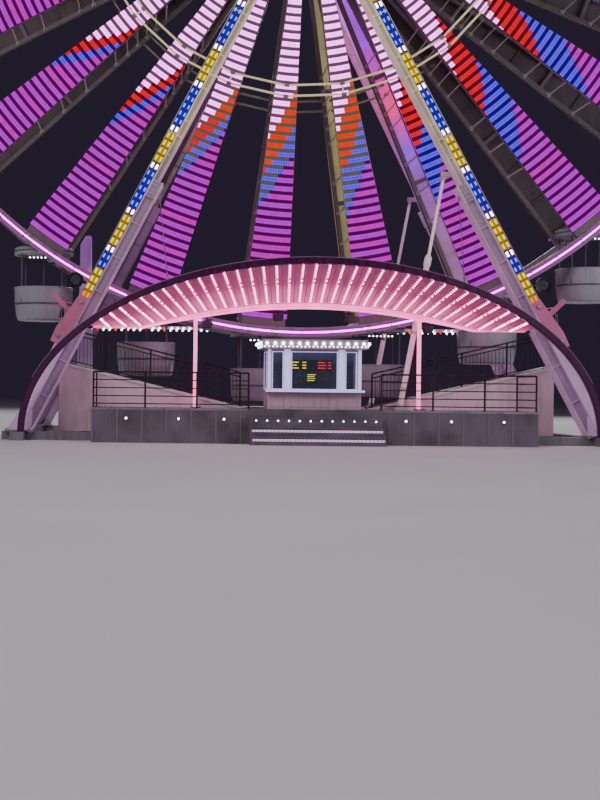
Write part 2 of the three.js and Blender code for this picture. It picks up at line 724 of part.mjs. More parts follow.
// The kiosk's walls and floor, with windows on three sides, a shelf and a doorway at the back.
function kioskBody() {
  const inside = KIOSK_HALF - KIOSK_WALL;
  let solid = block([-KIOSK_HALF, KIOSK_FRONT, KIOSK_FLOOR], [KIOSK_HALF, KIOSK_REAR, KIOSK_TOP]);
  solid = solid.subtract(block(
    [-inside, KIOSK_FRONT + KIOSK_WALL, KIOSK_FLOOR + KIOSK_WALL],
    [inside, KIOSK_REAR - KIOSK_WALL, KIOSK_TOP + KIOSK_WALL],
  ));
  for (const [left, right] of FRONT_WINDOWS) {
    solid = solid.subtract(block(
      [left, KIOSK_FRONT - KIOSK_WALL, WINDOW_LOW],
      [right, KIOSK_FRONT + 2 * KIOSK_WALL, WINDOW_HIGH],
    ));
  }
  solid = solid.subtract(block(
    [-2 * KIOSK_HALF, KIOSK_FRONT + 4 * KIOSK_WALL, WINDOW_LOW],
    [2 * KIOSK_HALF, KIOSK_REAR - 4 * KIOSK_WALL, WINDOW_HIGH],
  ));
  solid = solid.subtract(block(
    [-DOOR_HALF, KIOSK_REAR - 2 * KIOSK_WALL, KIOSK_FLOOR + KIOSK_WALL],
    [DOOR_HALF, KIOSK_REAR + KIOSK_WALL, DOOR_TOP],
  ));
  solid = solid.add(block(
    [-KIOSK_HALF - KIOSK_WALL, KIOSK_FRONT - SHELF_DEPTH, SHELF_LOW],
    [KIOSK_HALF + KIOSK_WALL, KIOSK_FRONT + KIOSK_WALL / 2, SHELF_HIGH],
  ));
  const holeRadius = (HINGE_RADIUS + GAP) / Math.cos(Math.PI / 8);
  for (const [low, high, mouth] of [[KIOSK_FLOOR, KIOSK_FLOOR + LUG, 1], [DOOR_TOP, DOOR_TOP + LUG, -1]]) {
    const lug = block([HINGE.x - LUG / 2, KIOSK_REAR - 1, low], [HINGE.x + LUG / 2, KIOSK_REAR + LUG, high]);
    const holeLow = mouth > 0 ? low + LUG / 2 : low - LUG;
    const holeHigh = mouth > 0 ? high + LUG : high - LUG / 2;
    solid = solid.add(lug).subtract(hingeBar(holeRadius, holeLow, holeHigh, Math.PI / 8));
  }
  return solid;
}

function kioskDoor() {
  const low = KIOSK_FLOOR + KIOSK_WALL + DOOR_CLEARANCE;
  const high = DOOR_TOP - DOOR_CLEARANCE;
  const left = DOOR_CLEARANCE - DOOR_HALF;
  const right = DOOR_HALF - DOOR_CLEARANCE;
  const panel = block([left, KIOSK_REAR - DOOR_THICKNESS, low], [right, KIOSK_REAR, high]);
  const leaf = block([right - LUG, KIOSK_REAR - 1, low + LUG], [HINGE.x, HINGE.y, high - LUG]);
  const rod = hingeBar(HINGE_RADIUS, KIOSK_FLOOR + LUG / 2 + GAP, DOOR_TOP + LUG / 2 - GAP, 0);
  return panel.add(leaf).add(rod);
}

function kioskRoof() {
  const low = KIOSK_TOP + GAP;
  return block(
    [-KIOSK_ROOF_HALF, KIOSK_FRONT - KIOSK_ROOF_OVERHANG, low],
    [KIOSK_ROOF_HALF, KIOSK_REAR + KIOSK_ROOF_OVERHANG, KIOSK_ROOF_TOP],
  );
}

// The bulb beam crosses behind the wheel between the two rear legs.
function festoonBeam() {
  const half = FESTOON_SIZE / 2;
  const low = FESTOON_HEIGHT - half;
  const high = FESTOON_HEIGHT + half;
  const parts = [block([-FESTOON_HALF, FESTOON_Y - half, low], [FESTOON_HALF, FESTOON_Y + half, high])];
  for (const across of [-1, 1]) {
    const x = across * (FESTOON_HALF - FESTOON_SIZE);
    parts.push(block([x - FESTOON_SIZE, FESTOON_Y, low], [x + FESTOON_SIZE, FOOT_Y - FESTOON_SIZE, high]));
  }
  return join(parts).subtract(leg(-1, 1, GAP)).subtract(leg(1, 1, GAP));
}

// A square mast that tapers upwards.
function serviceMast() {
  const foot = BASE_HEIGHT + GAP;
  const [top, low] = [MAST_TOP_SIZE, MAST_FOOT_SIZE].map((size) => size * Math.SQRT1_2);
  const geometry = new THREE.CylinderGeometry(top, low, MAST_TOP - foot, 4, 1, false, Math.PI / 4);
  geometry.rotateX(Math.PI / 2);
  geometry.translate(MAST_X, MAST_Y, (MAST_TOP + foot) / 2);
  return toSolid(geometry);
}

// A telescopic prop: a wide lower tube, a collar, and a thin rod that ends in a lug on the leg.
function strut(side) {
  const onLeg = legPoint(1, side, STRUT_HEAD.z);
  const top = new THREE.Vector3(STRUT_HEAD.x, onLeg.y, STRUT_HEAD.z);
  const foot = new THREE.Vector3(STRUT_FOOT.x, side * STRUT_FOOT.y, DECK_HEIGHT);
  const lugEnd = top.clone().setX(top.x - STRUT_LUG_DEPTH);
  const along = (share) => foot.clone().lerp(top, share);
  const [tubeStart, tubeEnd] = STRUT_TUBE_SPAN;
  const [collarStart, collarEnd] = STRUT_COLLAR_SPAN;
  const parts = [
    bar(along(tubeStart), along(tubeEnd), STRUT_TUBE, STRUT_SIDES),
    bar(along(STRUT_ROD_START), top, STRUT_ROD, STRUT_SIDES),
    bar(along(collarStart), along(collarEnd), STRUT_COLLAR, STRUT_SIDES, Math.PI / STRUT_SIDES),
    beam(lugEnd, onLeg, STRUT_LUG_HEIGHT, STRUT_LUG_DEPTH),
  ];
  const reach = 2 * FOOT_X;
  const ground = block([-reach, -reach, -reach], [reach, reach, DECK_HEIGHT + GAP]);
  return join(parts).subtract(ground).subtract(leg(1, side, GAP));
}

const group = new THREE.Group();

function add(name, solid, paint) {
  const mesh = new THREE.Mesh(toGeometry(solid), new THREE.MeshStandardMaterial(PAINT[paint]));
  mesh.name = name;
  group.add(mesh);
  return mesh;
}

add("base_frame", baseFrame(), "grey");
for (const [sideName, side] of [["front", -1], ["rear", 1]]) {
  add(`${sideName}_left_leg`, leg(-1, side), "white");
  add(`${sideName}_right_leg`, leg(1, side), "white");
  add(`${sideName}_bearing`, bearing(side), "grey");
}
add("front_strut", strut(-1), "steel");
add("rear_strut", strut(1), "steel");
add("platform", platform(), "deck");
add("front_steps", frontSteps(), "deck");
for (const [sideName, across] of [["left", -1], ["right", 1]]) {
  add(`${sideName}_ramp`, ramp(across), "pink");
  add(`${sideName}_ramp_railing`, rampRailing(across), "black");
  add(`${sideName}_deck_railing`, deckRailing(across), "black");
  add(`${sideName}_canopy_stay`, canopyStay(across), "steel");
}
add("canopy_arch", arch(), "black");
add("canopy_roof", canopyRoof(), "pink");
add("canopy_beam", canopyBeam(), "white");
add("kiosk_body", kioskBody(), "white");
add("kiosk_roof", kioskRoof(), "white");
add("kiosk_door", kioskDoor(), "white");
add("festoon_beam", festoonBeam(), "white");
add("service_mast", serviceMast(), "white");

add("hub", hub(), "grey");
for (const [sideName, side] of [["front", -1], ["rear", 1]]) {
  add(`${sideName}_left_spokes`, spokes(side, -1), "grey");
  add(`${sideName}_right_spokes`, spokes(side, 1), "grey");
}
add("front_rim", rim(-1), "white");
add("rear_rim", rim(1), "white");
add("front_inner_rings", innerRings(-1), "white");
add("rear_inner_rings", innerRings(1), "white");

const gondolaSolid = gondola();
for (let index = 0; index < SPOKE_COUNT; index += 1) {
  const mesh = add(`gondola_${String(index + 1).padStart(2, "0")}`, gondolaSolid, "cabin");
  mesh.position.copy(wheelPoint(PIVOT_RADIUS, spokeAngle(index)));
}

export default group;
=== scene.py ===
"""The look of an observation wheel: light bars, gondolas, A-frames, canopy, deck and kiosk."""
import json
import random
from math import asin, atan, atan2, ceil, copysign, cos, pi, radians, sin, sqrt, tan, tau

import bmesh
import bpy
import numpy as np
from mathutils import Matrix, Vector


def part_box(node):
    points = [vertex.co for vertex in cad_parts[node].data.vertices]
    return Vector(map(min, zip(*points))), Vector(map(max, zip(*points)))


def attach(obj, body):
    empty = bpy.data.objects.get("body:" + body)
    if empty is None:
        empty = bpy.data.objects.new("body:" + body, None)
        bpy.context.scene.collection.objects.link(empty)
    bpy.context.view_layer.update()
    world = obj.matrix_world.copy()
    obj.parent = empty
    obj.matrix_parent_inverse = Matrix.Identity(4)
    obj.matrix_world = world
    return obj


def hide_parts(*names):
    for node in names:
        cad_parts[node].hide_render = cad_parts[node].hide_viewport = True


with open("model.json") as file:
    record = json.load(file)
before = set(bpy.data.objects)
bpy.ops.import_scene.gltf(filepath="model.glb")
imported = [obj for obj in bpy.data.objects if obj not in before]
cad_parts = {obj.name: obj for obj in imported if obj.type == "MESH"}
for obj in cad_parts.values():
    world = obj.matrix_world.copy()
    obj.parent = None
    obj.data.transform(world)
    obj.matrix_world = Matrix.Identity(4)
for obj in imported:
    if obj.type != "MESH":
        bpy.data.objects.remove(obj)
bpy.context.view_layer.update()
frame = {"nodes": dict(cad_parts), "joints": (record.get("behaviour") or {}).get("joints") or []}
RNG = random.Random(7)

SPOKES = 24
JOINTS = {joint["name"]: Vector(joint["pos_m"]) for joint in frame["joints"]}
HUB = JOINTS["wheel_spin"]
PIVOTS = [JOINTS[f"gondola_{number:02d}_swing"] for number in range(1, SPOKES + 1)]
PIVOT_RADIUS = (PIVOTS[0] - HUB).length
FIRST_ANGLE = atan2(PIVOTS[0].x, HUB.z - PIVOTS[0].z)
SPOKE_STEP = tau / SPOKES
X, Y, Z = Vector((1, 0, 0)), Vector((0, 1, 0)), Vector((0, 0, 1))
PLANES = {-1: "front", 1: "rear"}
SIDES = {-1: "left", 1: "right"}


def vec(x, y, z):
    return Vector((x, y, z))


def reach(box):
    """The smallest and the largest distance from the middle, along x, of a box on one side of it."""
    return sorted((abs(box[0].x), abs(box[1].x)))


# Mesh building


def add_object(name, data):
    thing = bpy.data.objects.new(name, data)
    bpy.context.scene.collection.objects.link(thing)
    return thing


BOX_CORNERS = [((a, b, c), None) for a in (-1, 1) for b in (-1, 1) for c in (-1, 1)]
BOX_FACES = [(0, 1, 3, 2), (4, 6, 7, 5), (0, 4, 5, 1), (2, 3, 7, 6), (0, 2, 6, 4), (1, 5, 7, 3)]
# A box with cut edges has three points at each corner: six sides, eight corners and twelve edges.
CUT_CORNERS = [(signs, axis) for signs, _ in BOX_CORNERS for axis in range(3)]
CUT_FACES = [tuple(3 * corner + number // 2 for corner in face) for number, face in enumerate(BOX_FACES)]
CUT_FACES += [(3 * corner, 3 * corner + 1, 3 * corner + 2) for corner in range(8)]
CUT_FACES += [
    (3 * near + one, 3 * (near + step) + one, 3 * (near + step) + two, 3 * near + two)
    for step, one, two in ((4, 1, 2), (2, 0, 2), (1, 0, 1)) for near in range(8) if not near & step]
SHARP = radians(35)
BULB_STEPS = 4


class Shape:
    """Gathers faces, each with a material number and UVs in metres, and turns them into one object."""

    def __init__(self):
        self.points, self.faces, self.slots, self.uvs = [], [], [], []

    def add(self, points, faces, slot, uvs):
        start = len(self.points)
        self.points.extend(points)
        for face in faces:
            self.faces.append([start + corner for corner in face])
            self.slots.append(slot)
            self.uvs.extend(uvs[corner] if uvs else (0.0, 0.0) for corner in face)

    def loft(self, rows, slot=0, uvs=None, closed=False, caps=False):
        """Skins rows of points. A row of one point is a tip; closed joins the last row to the first."""
        width = max(len(row) for row in rows)
        numbers, start = [], 0
        for row in rows:
            numbers.append([start + k % len(row) for k in range(width)])
            start += len(row)
        faces = []
        for low, high in zip(numbers, numbers[1:] + numbers[:1] if closed else numbers[1:]):
            for k in range(width):
                after = (k + 1) % width
                face = list(dict.fromkeys((low[k], low[after], high[after], high[k])))
                if len(face) > 2:
                    faces.append(face)
        if caps:
            faces += [numbers[0][::-1], numbers[-1]]
        self.add([point for row in rows for point in row], faces, slot, uvs)

    def box(self, centre, half, axes=(X, Y, Z), slot=0, chamfer=0.0, shift=0.0):
        """A box, its edges cut back by chamfer. Its UVs lie along the first and third axis."""
        corners, faces = (CUT_CORNERS, CUT_FACES) if chamfer else (BOX_CORNERS, BOX_FACES)
        local = []
        for signs, axis in corners:
            local.append([signs[k] * (half[k] - (0 if k == axis else chamfer)) for k in range(3)])
        points = [centre + axes[0] * a + axes[1] * b + axes[2] * c for a, b, c in local]
        self.add(points, faces, slot, [(a + shift, c) for a, b, c in local])

    def block(self, low, high, slot, chamfer=0.0):
        low, high = Vector(low), Vector(high)
        self.box((low + high) / 2, (high - low) / 2, slot=slot, chamfer=chamfer)

    def beam(self, start, end, width, depth, hint, slot, chamfer=0.0):
        """A box from start to end, its depth as near as can be to hint."""
        along = (end - start).normalized()
        across = hint.cross(along).normalized()
        half = (width / 2, depth / 2, (end - start).length / 2)
        self.box((start + end) / 2, half, (across, along.cross(across), along), slot, chamfer)

    def tube(self, path, radius, sides, slot=0, closed=False):
        """A round tube along a path of points."""
        count = len(path)
        normal, travelled = None, 0.0
        rows, uvs = [], []
        for index, point in enumerate(path):
            before = path[index - 1] if index or closed else path[0]
            after = path[(index + 1) % count] if index < count - 1 or closed else path[-1]
            along = (after - before).normalized()
            if normal is None:
                normal = along.cross(Z if abs(along.z) < 0.9 else X).normalized()
            normal = (normal - along * normal.dot(along)).normalized()
            binormal = along.cross(normal)
            if index:
                travelled += (point - path[index - 1]).length
            turns = [tau * side / sides for side in range(sides)]
            rows.append([point + (normal * cos(turn) + binormal * sin(turn)) * radius
                         for turn in turns])
            uvs.extend((travelled, turn * radius) for turn in turns)
        self.loft(rows, slot, uvs, closed, not closed)

    def lathe(self, centre, axis, profile, sides, slot=0, closed=False, turn=0.0):
        """Turns (radius, height) points about an axis. An end at radius 0 closes on the axis."""
        first = axis.cross(Z if abs(axis.z) < 0.9 else X).normalized()
        second = axis.cross(first)
        angles = [turn + tau * side / sides for side in range(sides)]
        rows, uvs = [], []
        for radius, height in profile:
            base = centre + axis * height
            turns = angles if radius > 1e-9 else angles[:1]
            rows.append([base + (first * cos(angle) + second * sin(angle)) * radius
                         for angle in turns])
            uvs.extend((angle * radius, height) for angle in turns)
        self.loft(rows, slot, uvs, closed)

    def prism(self, outline, start, offset, slot=0):
        """A plate: outline points, moved to start and thickened by offset."""
        near = [point + start for point in outline]
        self.loft([near, [point + offset for point in near]], slot, caps=True)

    def plate(self, outline, y, thick, slot=0):
        """An upright plate behind y, with an outline of (x, z) points."""
        self.prism([vec(x, 0, z) for x, z in outline], Y * y, Y * thick, slot)

    def bulb(self, centre, radius, slot, sides, up=Z):
        turns = [pi * (step / BULB_STEPS - 0.5) for step in range(BULB_STEPS + 1)]
        profile = [(radius * cos(turn), radius * sin(turn)) for turn in turns]
        self.lathe(centre, up, profile, sides, slot)

    def make(self, name, materials, slot, replaces=(), body="base"):
        """Builds the object, rides it on its body and hides the CAD nodes that it stands for."""
        mesh = bpy.data.meshes.new(name)
        mesh.from_pydata([tuple(point) for point in self.points], [], self.faces)
        mesh.polygons.foreach_set("material_index", np.array(self.slots, np.int32))
        mesh.uv_layers.new(name="UVMap").data.foreach_set("uv", np.array(self.uvs, np.float32).ravel())
        for material in materials:
            mesh.materials.append(material)
        mesh.polygons.foreach_set("use_smooth", np.ones(len(mesh.polygons), bool))
        work = bmesh.new()
        work.from_mesh(mesh)
        bmesh.ops.recalc_face_normals(work, faces=work.faces)
        work.to_mesh(mesh)
        work.free()
        mesh.set_sharp_from_angle(angle=SHARP)
        mesh.update()
        piece = add_object(name, mesh)
        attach(piece, body)
        if replaces:
            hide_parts(*replaces)


# Materials


class Look:
    """A material with one shader and the nodes that feed it."""

    def __init__(self, name):
        self.material = bpy.data.materials.new(name)
        self.material.use_nodes = True
        self.tree = self.material.node_tree
        self.tree.nodes.clear()
        self.shader = self.tree.nodes.new("ShaderNodeBsdfPrincipled")
        self.node("OutputMaterial", {"Surface": self.shader.outputs["BSDF"]})

    def feed(self, node, sockets):
        """Links each socket to the one given for it, or sets its constant."""
        for key, value in sockets.items():
            socket = node.inputs[key]
            if isinstance(value, bpy.types.NodeSocket):
                self.tree.links.new(value, socket)
            else:
                socket.default_value = (*value, 1.0) if socket.type == "RGBA" else value

    def node(self, kind, sockets, **settings):
        node = self.tree.nodes.new("ShaderNode" + kind)
        for key, value in settings.items():
            setattr(node, key, value)
        self.feed(node, sockets)
        return node

    def place(self, source="Object"):
        return self.node("TexCoord", {}).outputs[source]

    def noise(self, scale, detail, stretch=(1, 1, 1)):
        spot = self.node("Mapping", {"Vector": self.place(), "Scale": stretch}).outputs["Vector"]
        sockets = {"Vector": spot, "Scale": scale, "Detail": detail, "Roughness": 0.55}
        return self.node("TexNoise", sockets).outputs["Fac"]

    def ramp(self, value, *stops):
        """Tones along a value. Each stop is a position and a colour, or one number for a grey."""
        node = self.node("ValToRGB", {"Fac": value})
        elements = node.color_ramp.elements
        while len(elements) < len(stops):
            elements.new(0.5)
        for element, (position, tone) in zip(elements, stops):
            element.position = position
            element.color = (*(tone if isinstance(tone, tuple) else (tone,) * 3), 1.0)
        return node.outputs["Color"]

    def mix(self, factor, first, second, blend="MIX"):
        sockets = {0: factor, 6: first, 7: second}
        return self.node("Mix", sockets, data_type="RGBA", blend_type=blend).outputs[2]

    def cover(self, base, rough, metal=0.0):
        self.feed(self.shader, {"Base Color": base, "Roughness": rough, "Metallic": metal})

    def light(self, colour, strength):
        self.feed(self.shader, {"Emission Color": colour, "Emission Strength": strength})
        self.material.cycles.emission_sampling = "NONE"

    def bump(self, height, strength, distance=0.003):
        sockets = {"Strength": strength, "Distance": distance, "Height": height}
        self.feed(self.shader, {"Normal": self.node("Bump", sockets).outputs["Normal"]})


def shaded(colour, factor):
    return tuple(channel * factor for channel in colour)


def paint(name, colour, soil, rough=0.45, metal=0.0, grime=0.45, streaks=6.0, lit=None):
    """Painted metal with cloudy soiling, long streaks, small chips and an orange-peel surface.

    lit is the colour that lamps lay over it.
    """
    look = Look(name)
    runs = look.noise(streaks, 6.0, (1.0, 1.0, 0.12))
    dirty = look.ramp(runs, (0.52, 0), (0.78, grime))
    varied = look.mix(look.ramp(look.noise(0.7, 5.0), (0.3, 0), (0.75, 1)), colour, shaded(colour, 0.82))
    chipped = look.ramp(look.noise(34.0, 3.0), (0.70, 0), (0.74, 0.6))
    base = look.mix(chipped, look.mix(dirty, varied, soil), shaded(soil, 0.8))
    look.cover(base, look.ramp(runs, (0.3, max(0.05, rough - 0.12)), (0.8, min(1.0, rough + 0.2))), metal)
    if lit:
        look.light(look.mix(dirty, lit, shaded(lit, 0.7)), 1.0)
    look.bump(look.noise(90.0, 3.0), 0.12)
    return look.material


def graded_paint(name, axis, length, stops, rough=0.5, lit=0.0):
    """Painted steel with soot and runs, whose tone follows the distance along one axis as a painted gradient
    of light and shade. lit makes that tone glow as painted lamp light.
    """
    look = Look(name)
    source, part = ("UV", "Y") if axis == "UV" else ("Object", axis)
    place = look.node("SeparateXYZ", {"Vector": look.place(source)}).outputs[part]
    distance = look.node("Math", {0: place}, operation="ABSOLUTE").outputs[0]
    share = look.node("Math", {0: distance, 1: length}, operation="DIVIDE").outputs[0]
    runs = look.noise(7.0, 6.0, (1.0, 1.0, 0.15))
    shade = look.ramp(look.noise(1.3, 6.0), (0.3, 0.68), (0.7, 1.0))
    varied = look.mix(1.0, look.ramp(share, *stops), shade, "MULTIPLY")
    soiled = look.mix(look.ramp(runs, (0.5, 0), (0.8, 0.5)), varied, shaded(stops[-1][1], 0.5))
    look.cover(soiled, look.ramp(runs, (0.3, rough), (0.8, rough + 0.25)))
    if lit:
        look.light(soiled, lit)
    look.bump(look.noise(60.0, 3.0), 0.15)
    return look.material


def metal(name, colour):
    """Brushed or galvanised steel: fine spangle with dull patches."""
    look = Look(name)
    spangle, patches = look.noise(26.0, 5.0), look.noise(2.2, 4.0)
    tint = look.ramp(spangle, (0.3, shaded(colour, 0.75)), (0.7, shaded(colour, 1.1)))
    dull = look.ramp(patches, (0.35, 0.22), (0.7, 0.52))
    look.cover(look.mix(patches, tint, shaded(colour, 0.6)), dull, 0.9)
    look.bump(spangle, 0.08)
    return look.material


def chequer(name, colour):
    """Worn chequer plate."""
    look = Look(name)
    turned = look.node("Mapping", {"Vector": look.place(), "Rotation": (0, 0, radians(45))})
    plate = look.node("TexBrick", {"Vector": turned.outputs["Vector"], "Scale": 9.0, "Mortar Size": 0.055,
                                   "Mortar Smooth": 0.6}).outputs["Fac"]
    worn = look.noise(1.4, 5.0)
    tint = look.ramp(worn, (0.3, shaded(colour, 0.7)), (0.7, shaded(colour, 1.25)))
    look.cover(look.mix(0.35, tint, plate, "MULTIPLY"), look.ramp(worn, (0.3, 0.35), (0.7, 0.7)), 0.4)
    look.bump(plate, 0.4, 0.01)
    return look.material


def glow(name, colour, strength=1.0, core=None, cell=None, body=0.04):
    """A lit lamp face, or a glow of painted light spill on a surface that is no lamp. With cell=(width,
    height) it is split by its UVs into lamps with bright cores.
    """
    look = Look(name)
    uneven = look.noise(5.0, 2.0)
    lit = look.ramp(uneven, (0.25, shaded(colour, 0.85)), (0.75, colour))
    if cell:
        gaps = look.node("TexBrick", {
            "Vector": look.place("UV"), "Scale": 1.0, "Brick Width": cell[0], "Row Height": cell[1],
            "Mortar Size": min(cell) * 0.2, "Mortar Smooth": 0.8}, offset=0.0).outputs["Fac"]
        lit = look.mix(gaps, look.ramp(uneven, (0.25, shaded(core, 0.8)), (0.75, core)), lit)
    look.light(lit, strength)
    look.cover(look.mix(uneven, shaded(colour, body), shaded(colour, body * 0.8)), 0.6)
    look.feed(look.shader, {"Specular IOR Level": 0.0})
    return look.material


def clear_glass(name, colour):
    look = Look(name)
    look.cover(colour, look.ramp(look.noise(3.0, 4.0), (0.3, 0.04), (0.8, 0.16)))
    look.feed(look.shader, {"Alpha": 0.16})
    return look.material


WHITE_PAINT = paint("white_paint", (0.70, 0.66, 0.69), (0.33, 0.27, 0.27), 0.4)
OLIVE_PAINT = paint("olive_paint", (0.27, 0.245, 0.20), (0.10, 0.07, 0.05), 0.5, 0.2)
MAST_PAINT = paint("mast_paint", (0.80, 0.68, 0.92), (0.45, 0.32, 0.50), grime=0.3)
GREY_PAINT = paint("grey_paint", (0.22, 0.19, 0.23), (0.12, 0.07, 0.07), 0.5, 0.2, 0.6)
BLACK_PAINT = paint("black_paint", (0.026, 0.012, 0.024), (0.10, 0.06, 0.09), 0.25, 0.1, 0.25)
PANEL_BLACK = paint("panel_black", (0.012, 0.012, 0.03), (0.05, 0.04, 0.08), 0.5, grime=0.3)
ARCH_PAINT = paint("arch_paint", (0.024, 0.004, 0.020), (0.05, 0.012, 0.042), 0.3, 0.1, 0.25,
                   lit=(0.022, 0.0, 0.020))
RAMP_PINK = paint("ramp_pink", (0.78, 0.56, 0.66), (0.40, 0.27, 0.32), 0.55)
PLATE_PINK = paint("plate_pink", (0.62, 0.16, 0.32), (0.25, 0.10, 0.14), grime=0.4)
POST_PINK = paint("post_pink", (0.75, 0.30, 0.50), (0.35, 0.12, 0.22), 0.4, lit=(2.0, 0.34, 0.98))
RIM_PAINT = paint("rim_paint", (0.30, 0.20, 0.27), (0.15, 0.10, 0.12), 0.42)
RING_PAINT = paint("ring_paint", (0.85, 0.78, 0.50), (0.45, 0.36, 0.22), 0.4, lit=(0.22, 0.19, 0.08))
# A darker copy of the ring paint: painted shade on the rear rings.
RING_PAINT_SHADED = paint("ring_paint_shaded", (0.40, 0.36, 0.24), (0.22, 0.18, 0.12), 0.4)
TIE_PAINT = paint("tie_paint", (0.62, 0.50, 0.46), (0.30, 0.22, 0.20))
SPOKE_PAINT = paint("spoke_paint", (0.16, 0.11, 0.13), (0.06, 0.03, 0.05), 0.5)
STRUT_PAINT = paint("strut_paint", (0.80, 0.70, 0.74), (0.45, 0.34, 0.40), 0.3, 0.1, lit=(0.20, 0.11, 0.14))
CABIN_WHITE = paint("cabin_white", (0.36, 0.33, 0.40), (0.18, 0.15, 0.18), 0.3, grime=0.4)
CABIN_DARK = paint("cabin_dark", (0.10, 0.09, 0.13), (0.04, 0.03, 0.03))
SEAT_VINYL = paint("seat_vinyl", (0.30, 0.06, 0.20), (0.10, 0.03, 0.06), 0.55, grime=0.3)
KIOSK_PANEL = paint("kiosk_panel", (0.56, 0.38, 0.48), (0.30, 0.18, 0.24), 0.4)
KIOSK_FRAME = paint("kiosk_frame", (0.75, 0.74, 0.90), (0.40, 0.36, 0.46), 0.35, grime=0.3,
                    lit=(0.42, 0.38, 0.85))
LENS_GLASS = paint("lens_glass", (0.06, 0.06, 0.08), (0.12, 0.12, 0.13), 0.12, grime=0.15)
STEEL = metal("steel", (0.55, 0.54, 0.56))
DECK_PLATE = chequer("deck_plate", (0.20, 0.15, 0.20))
GLASS = clear_glass("kiosk_glass", (0.10, 0.12, 0.16))
# The sheets behind the light bars carry painted light and shade: the first is dark paint deepened by painted
# shade, the second painted olive floodlight that brightens with height, the third painted red, blue and
# violet LED spill by height, the fourth painted mauve LED spill.
SHEET_SHADED = paint("sheet_shaded", (0.082, 0.050, 0.066), (0.05, 0.02, 0.04), 0.55, streaks=3.0)
SHEET_FLOODLIT = graded_paint("sheet_floodlit", "Z", HUB.z, [
    (0.25, (0.20, 0.18, 0.09)), (0.55, (0.32, 0.30, 0.12)), (0.85, (0.42, 0.40, 0.18))], lit=0.7)
SHEET_MAUVE_LIT = graded_paint("sheet_mauve_lit", "Z", HUB.z, [
    (0.3, (0.16, 0.07, 0.11)), (0.8, (0.28, 0.17, 0.22))], lit=0.5)
SHEET_LED_LIT = graded_paint("sheet_led_lit", "Z", HUB.z, [
    (0.36, (0.24, 0.12, 0.22)), (0.46, (0.28, 0.09, 0.36)), (0.54, (0.28, 0.06, 0.80)),
    (0.61, (0.95, 0.04, 0.26)), (0.66, (0.90, 0.04, 0.34)), (0.74, (0.42, 0.03, 0.90)),
    (0.84, (0.60, 0.08, 0.95))], lit=1.0)
# The legs' tones are painted light by height: cream floodlight above and mauve lamp light lower down on the
# front legs, and the same darkened as painted shade on their webs. The rear right leg takes painted pink and
# violet LED spill; the rear left leg is painted shade, lighter near its foot.
LEG_FLOODLIT = graded_paint("leg_floodlit", "Z", HUB.z, [
    (0.2, (0.58, 0.36, 0.60)), (0.42, (0.66, 0.46, 0.64)), (0.52, (0.88, 0.78, 0.58)),
    (0.9, (0.94, 0.88, 0.62))], lit=0.22)
LEG_WEB_SHADED = graded_paint("leg_web_shaded", "Z", HUB.z, [
    (0.2, (0.30, 0.16, 0.30)), (0.42, (0.34, 0.22, 0.33)), (0.52, (0.50, 0.42, 0.30)),
    (0.9, (0.58, 0.51, 0.34))], lit=0.2)
REAR_LEG_LED_LIT = graded_paint("rear_leg_led_lit", "Z", HUB.z, [
    (0.2, (0.35, 0.18, 0.34)), (0.45, (0.42, 0.22, 0.48)), (0.6, (0.80, 0.20, 0.50)),
    (0.85, (0.60, 0.25, 0.85))], lit=0.35)
REAR_LEG_SHADED = graded_paint("rear_leg_shaded", "Z", HUB.z, [
    (0.2, (0.30, 0.16, 0.28)), (0.45, (0.13, 0.08, 0.12)), (0.85, (0.10, 0.07, 0.09))])
# The canopy panels' colour is painted pink lamp light, dark by the arch and bright towards the inner beam,
# and it glows.
SKIN_LAMPLIT = graded_paint("skin_lamplit", "UV", 1.0, [
    (0.0, (0.18, 0.027, 0.085)), (0.45, (0.34, 0.048, 0.15)), (0.8, (0.80, 0.13, 0.36))], 0.45, 1.3)
# The inner beam's pink paint glows as painted lamp light.
BEAM_PINK_LIT = graded_paint("beam_pink_lit", "X", 7.0, [
    (0.0, (1.0, 0.17, 0.50)), (0.75, (0.95, 0.16, 0.50))], 0.4, 2.3)
# The kiosk's inside: painted shade low down and painted bluish lamp light near the ceiling, glowing.
KIOSK_INSIDE_LIT_SHADED = graded_paint("kiosk_inside_lit_shaded", "Z", 2.8, [
    (0.4, (0.035, 0.012, 0.028)), (0.82, (0.03, 0.018, 0.05)), (0.96, (0.13, 0.13, 0.30))], lit=0.35)

LED_CELL = (0.075, 0.078)
LEDS = [
    glow("led_white", (0.42, 0.08, 0.46), 4.0, (1.2, 0.36, 1.2), LED_CELL),
    glow("led_red", (0.80, 0.0, 0.02), 1.1, (0.92, 0.0, 0.02), LED_CELL),
    glow("led_blue", (0.03, 0.0, 0.60), 1.4, (0.14, 0.08, 1.0), LED_CELL),
    glow("led_violet", (0.50, 0.0, 0.60), 1.0, (0.70, 0.01, 1.0), LED_CELL),
    glow("led_orange", (0.80, 0.01, 0.0), 1.2, (1.0, 0.04, 0.0), LED_CELL),
    glow("led_magenta", (0.62, 0.0, 0.56), 1.0, (0.78, 0.0, 0.76), LED_CELL),
    # The spill entries glow on the sheets as painted light spill from the bars; spill_olive is painted
    # floodlight.
    glow("spill_white", (0.17, 0.06, 0.14)), glow("spill_red", (0.12, 0.0, 0.012)),
    glow("spill_blue", (0.012, 0.0, 0.19)), glow("spill_violet", (0.09, 0.0, 0.085)),
    glow("spill_olive", (0.125, 0.11, 0.07)),
]
LAMP_WHITE = glow("lamp_white", (1.0, 0.9, 1.0), 8.0, body=0.8)
LAMP_YELLOW = glow("lamp_yellow", (1.7, 1.35, 0.0))
LAMP_ORANGE = glow("lamp_orange", (1.0, 0.13, 0.0), 2.2)
LAMP_BLUE = glow("lamp_blue", (0.45, 0.50, 1.9))
LAMP_RED = glow("lamp_red", (1.0, 0.0, 0.02), 1.6)
LAMP_GREEN = glow("lamp_green", (0.25, 1.0, 0.15), 1.2)
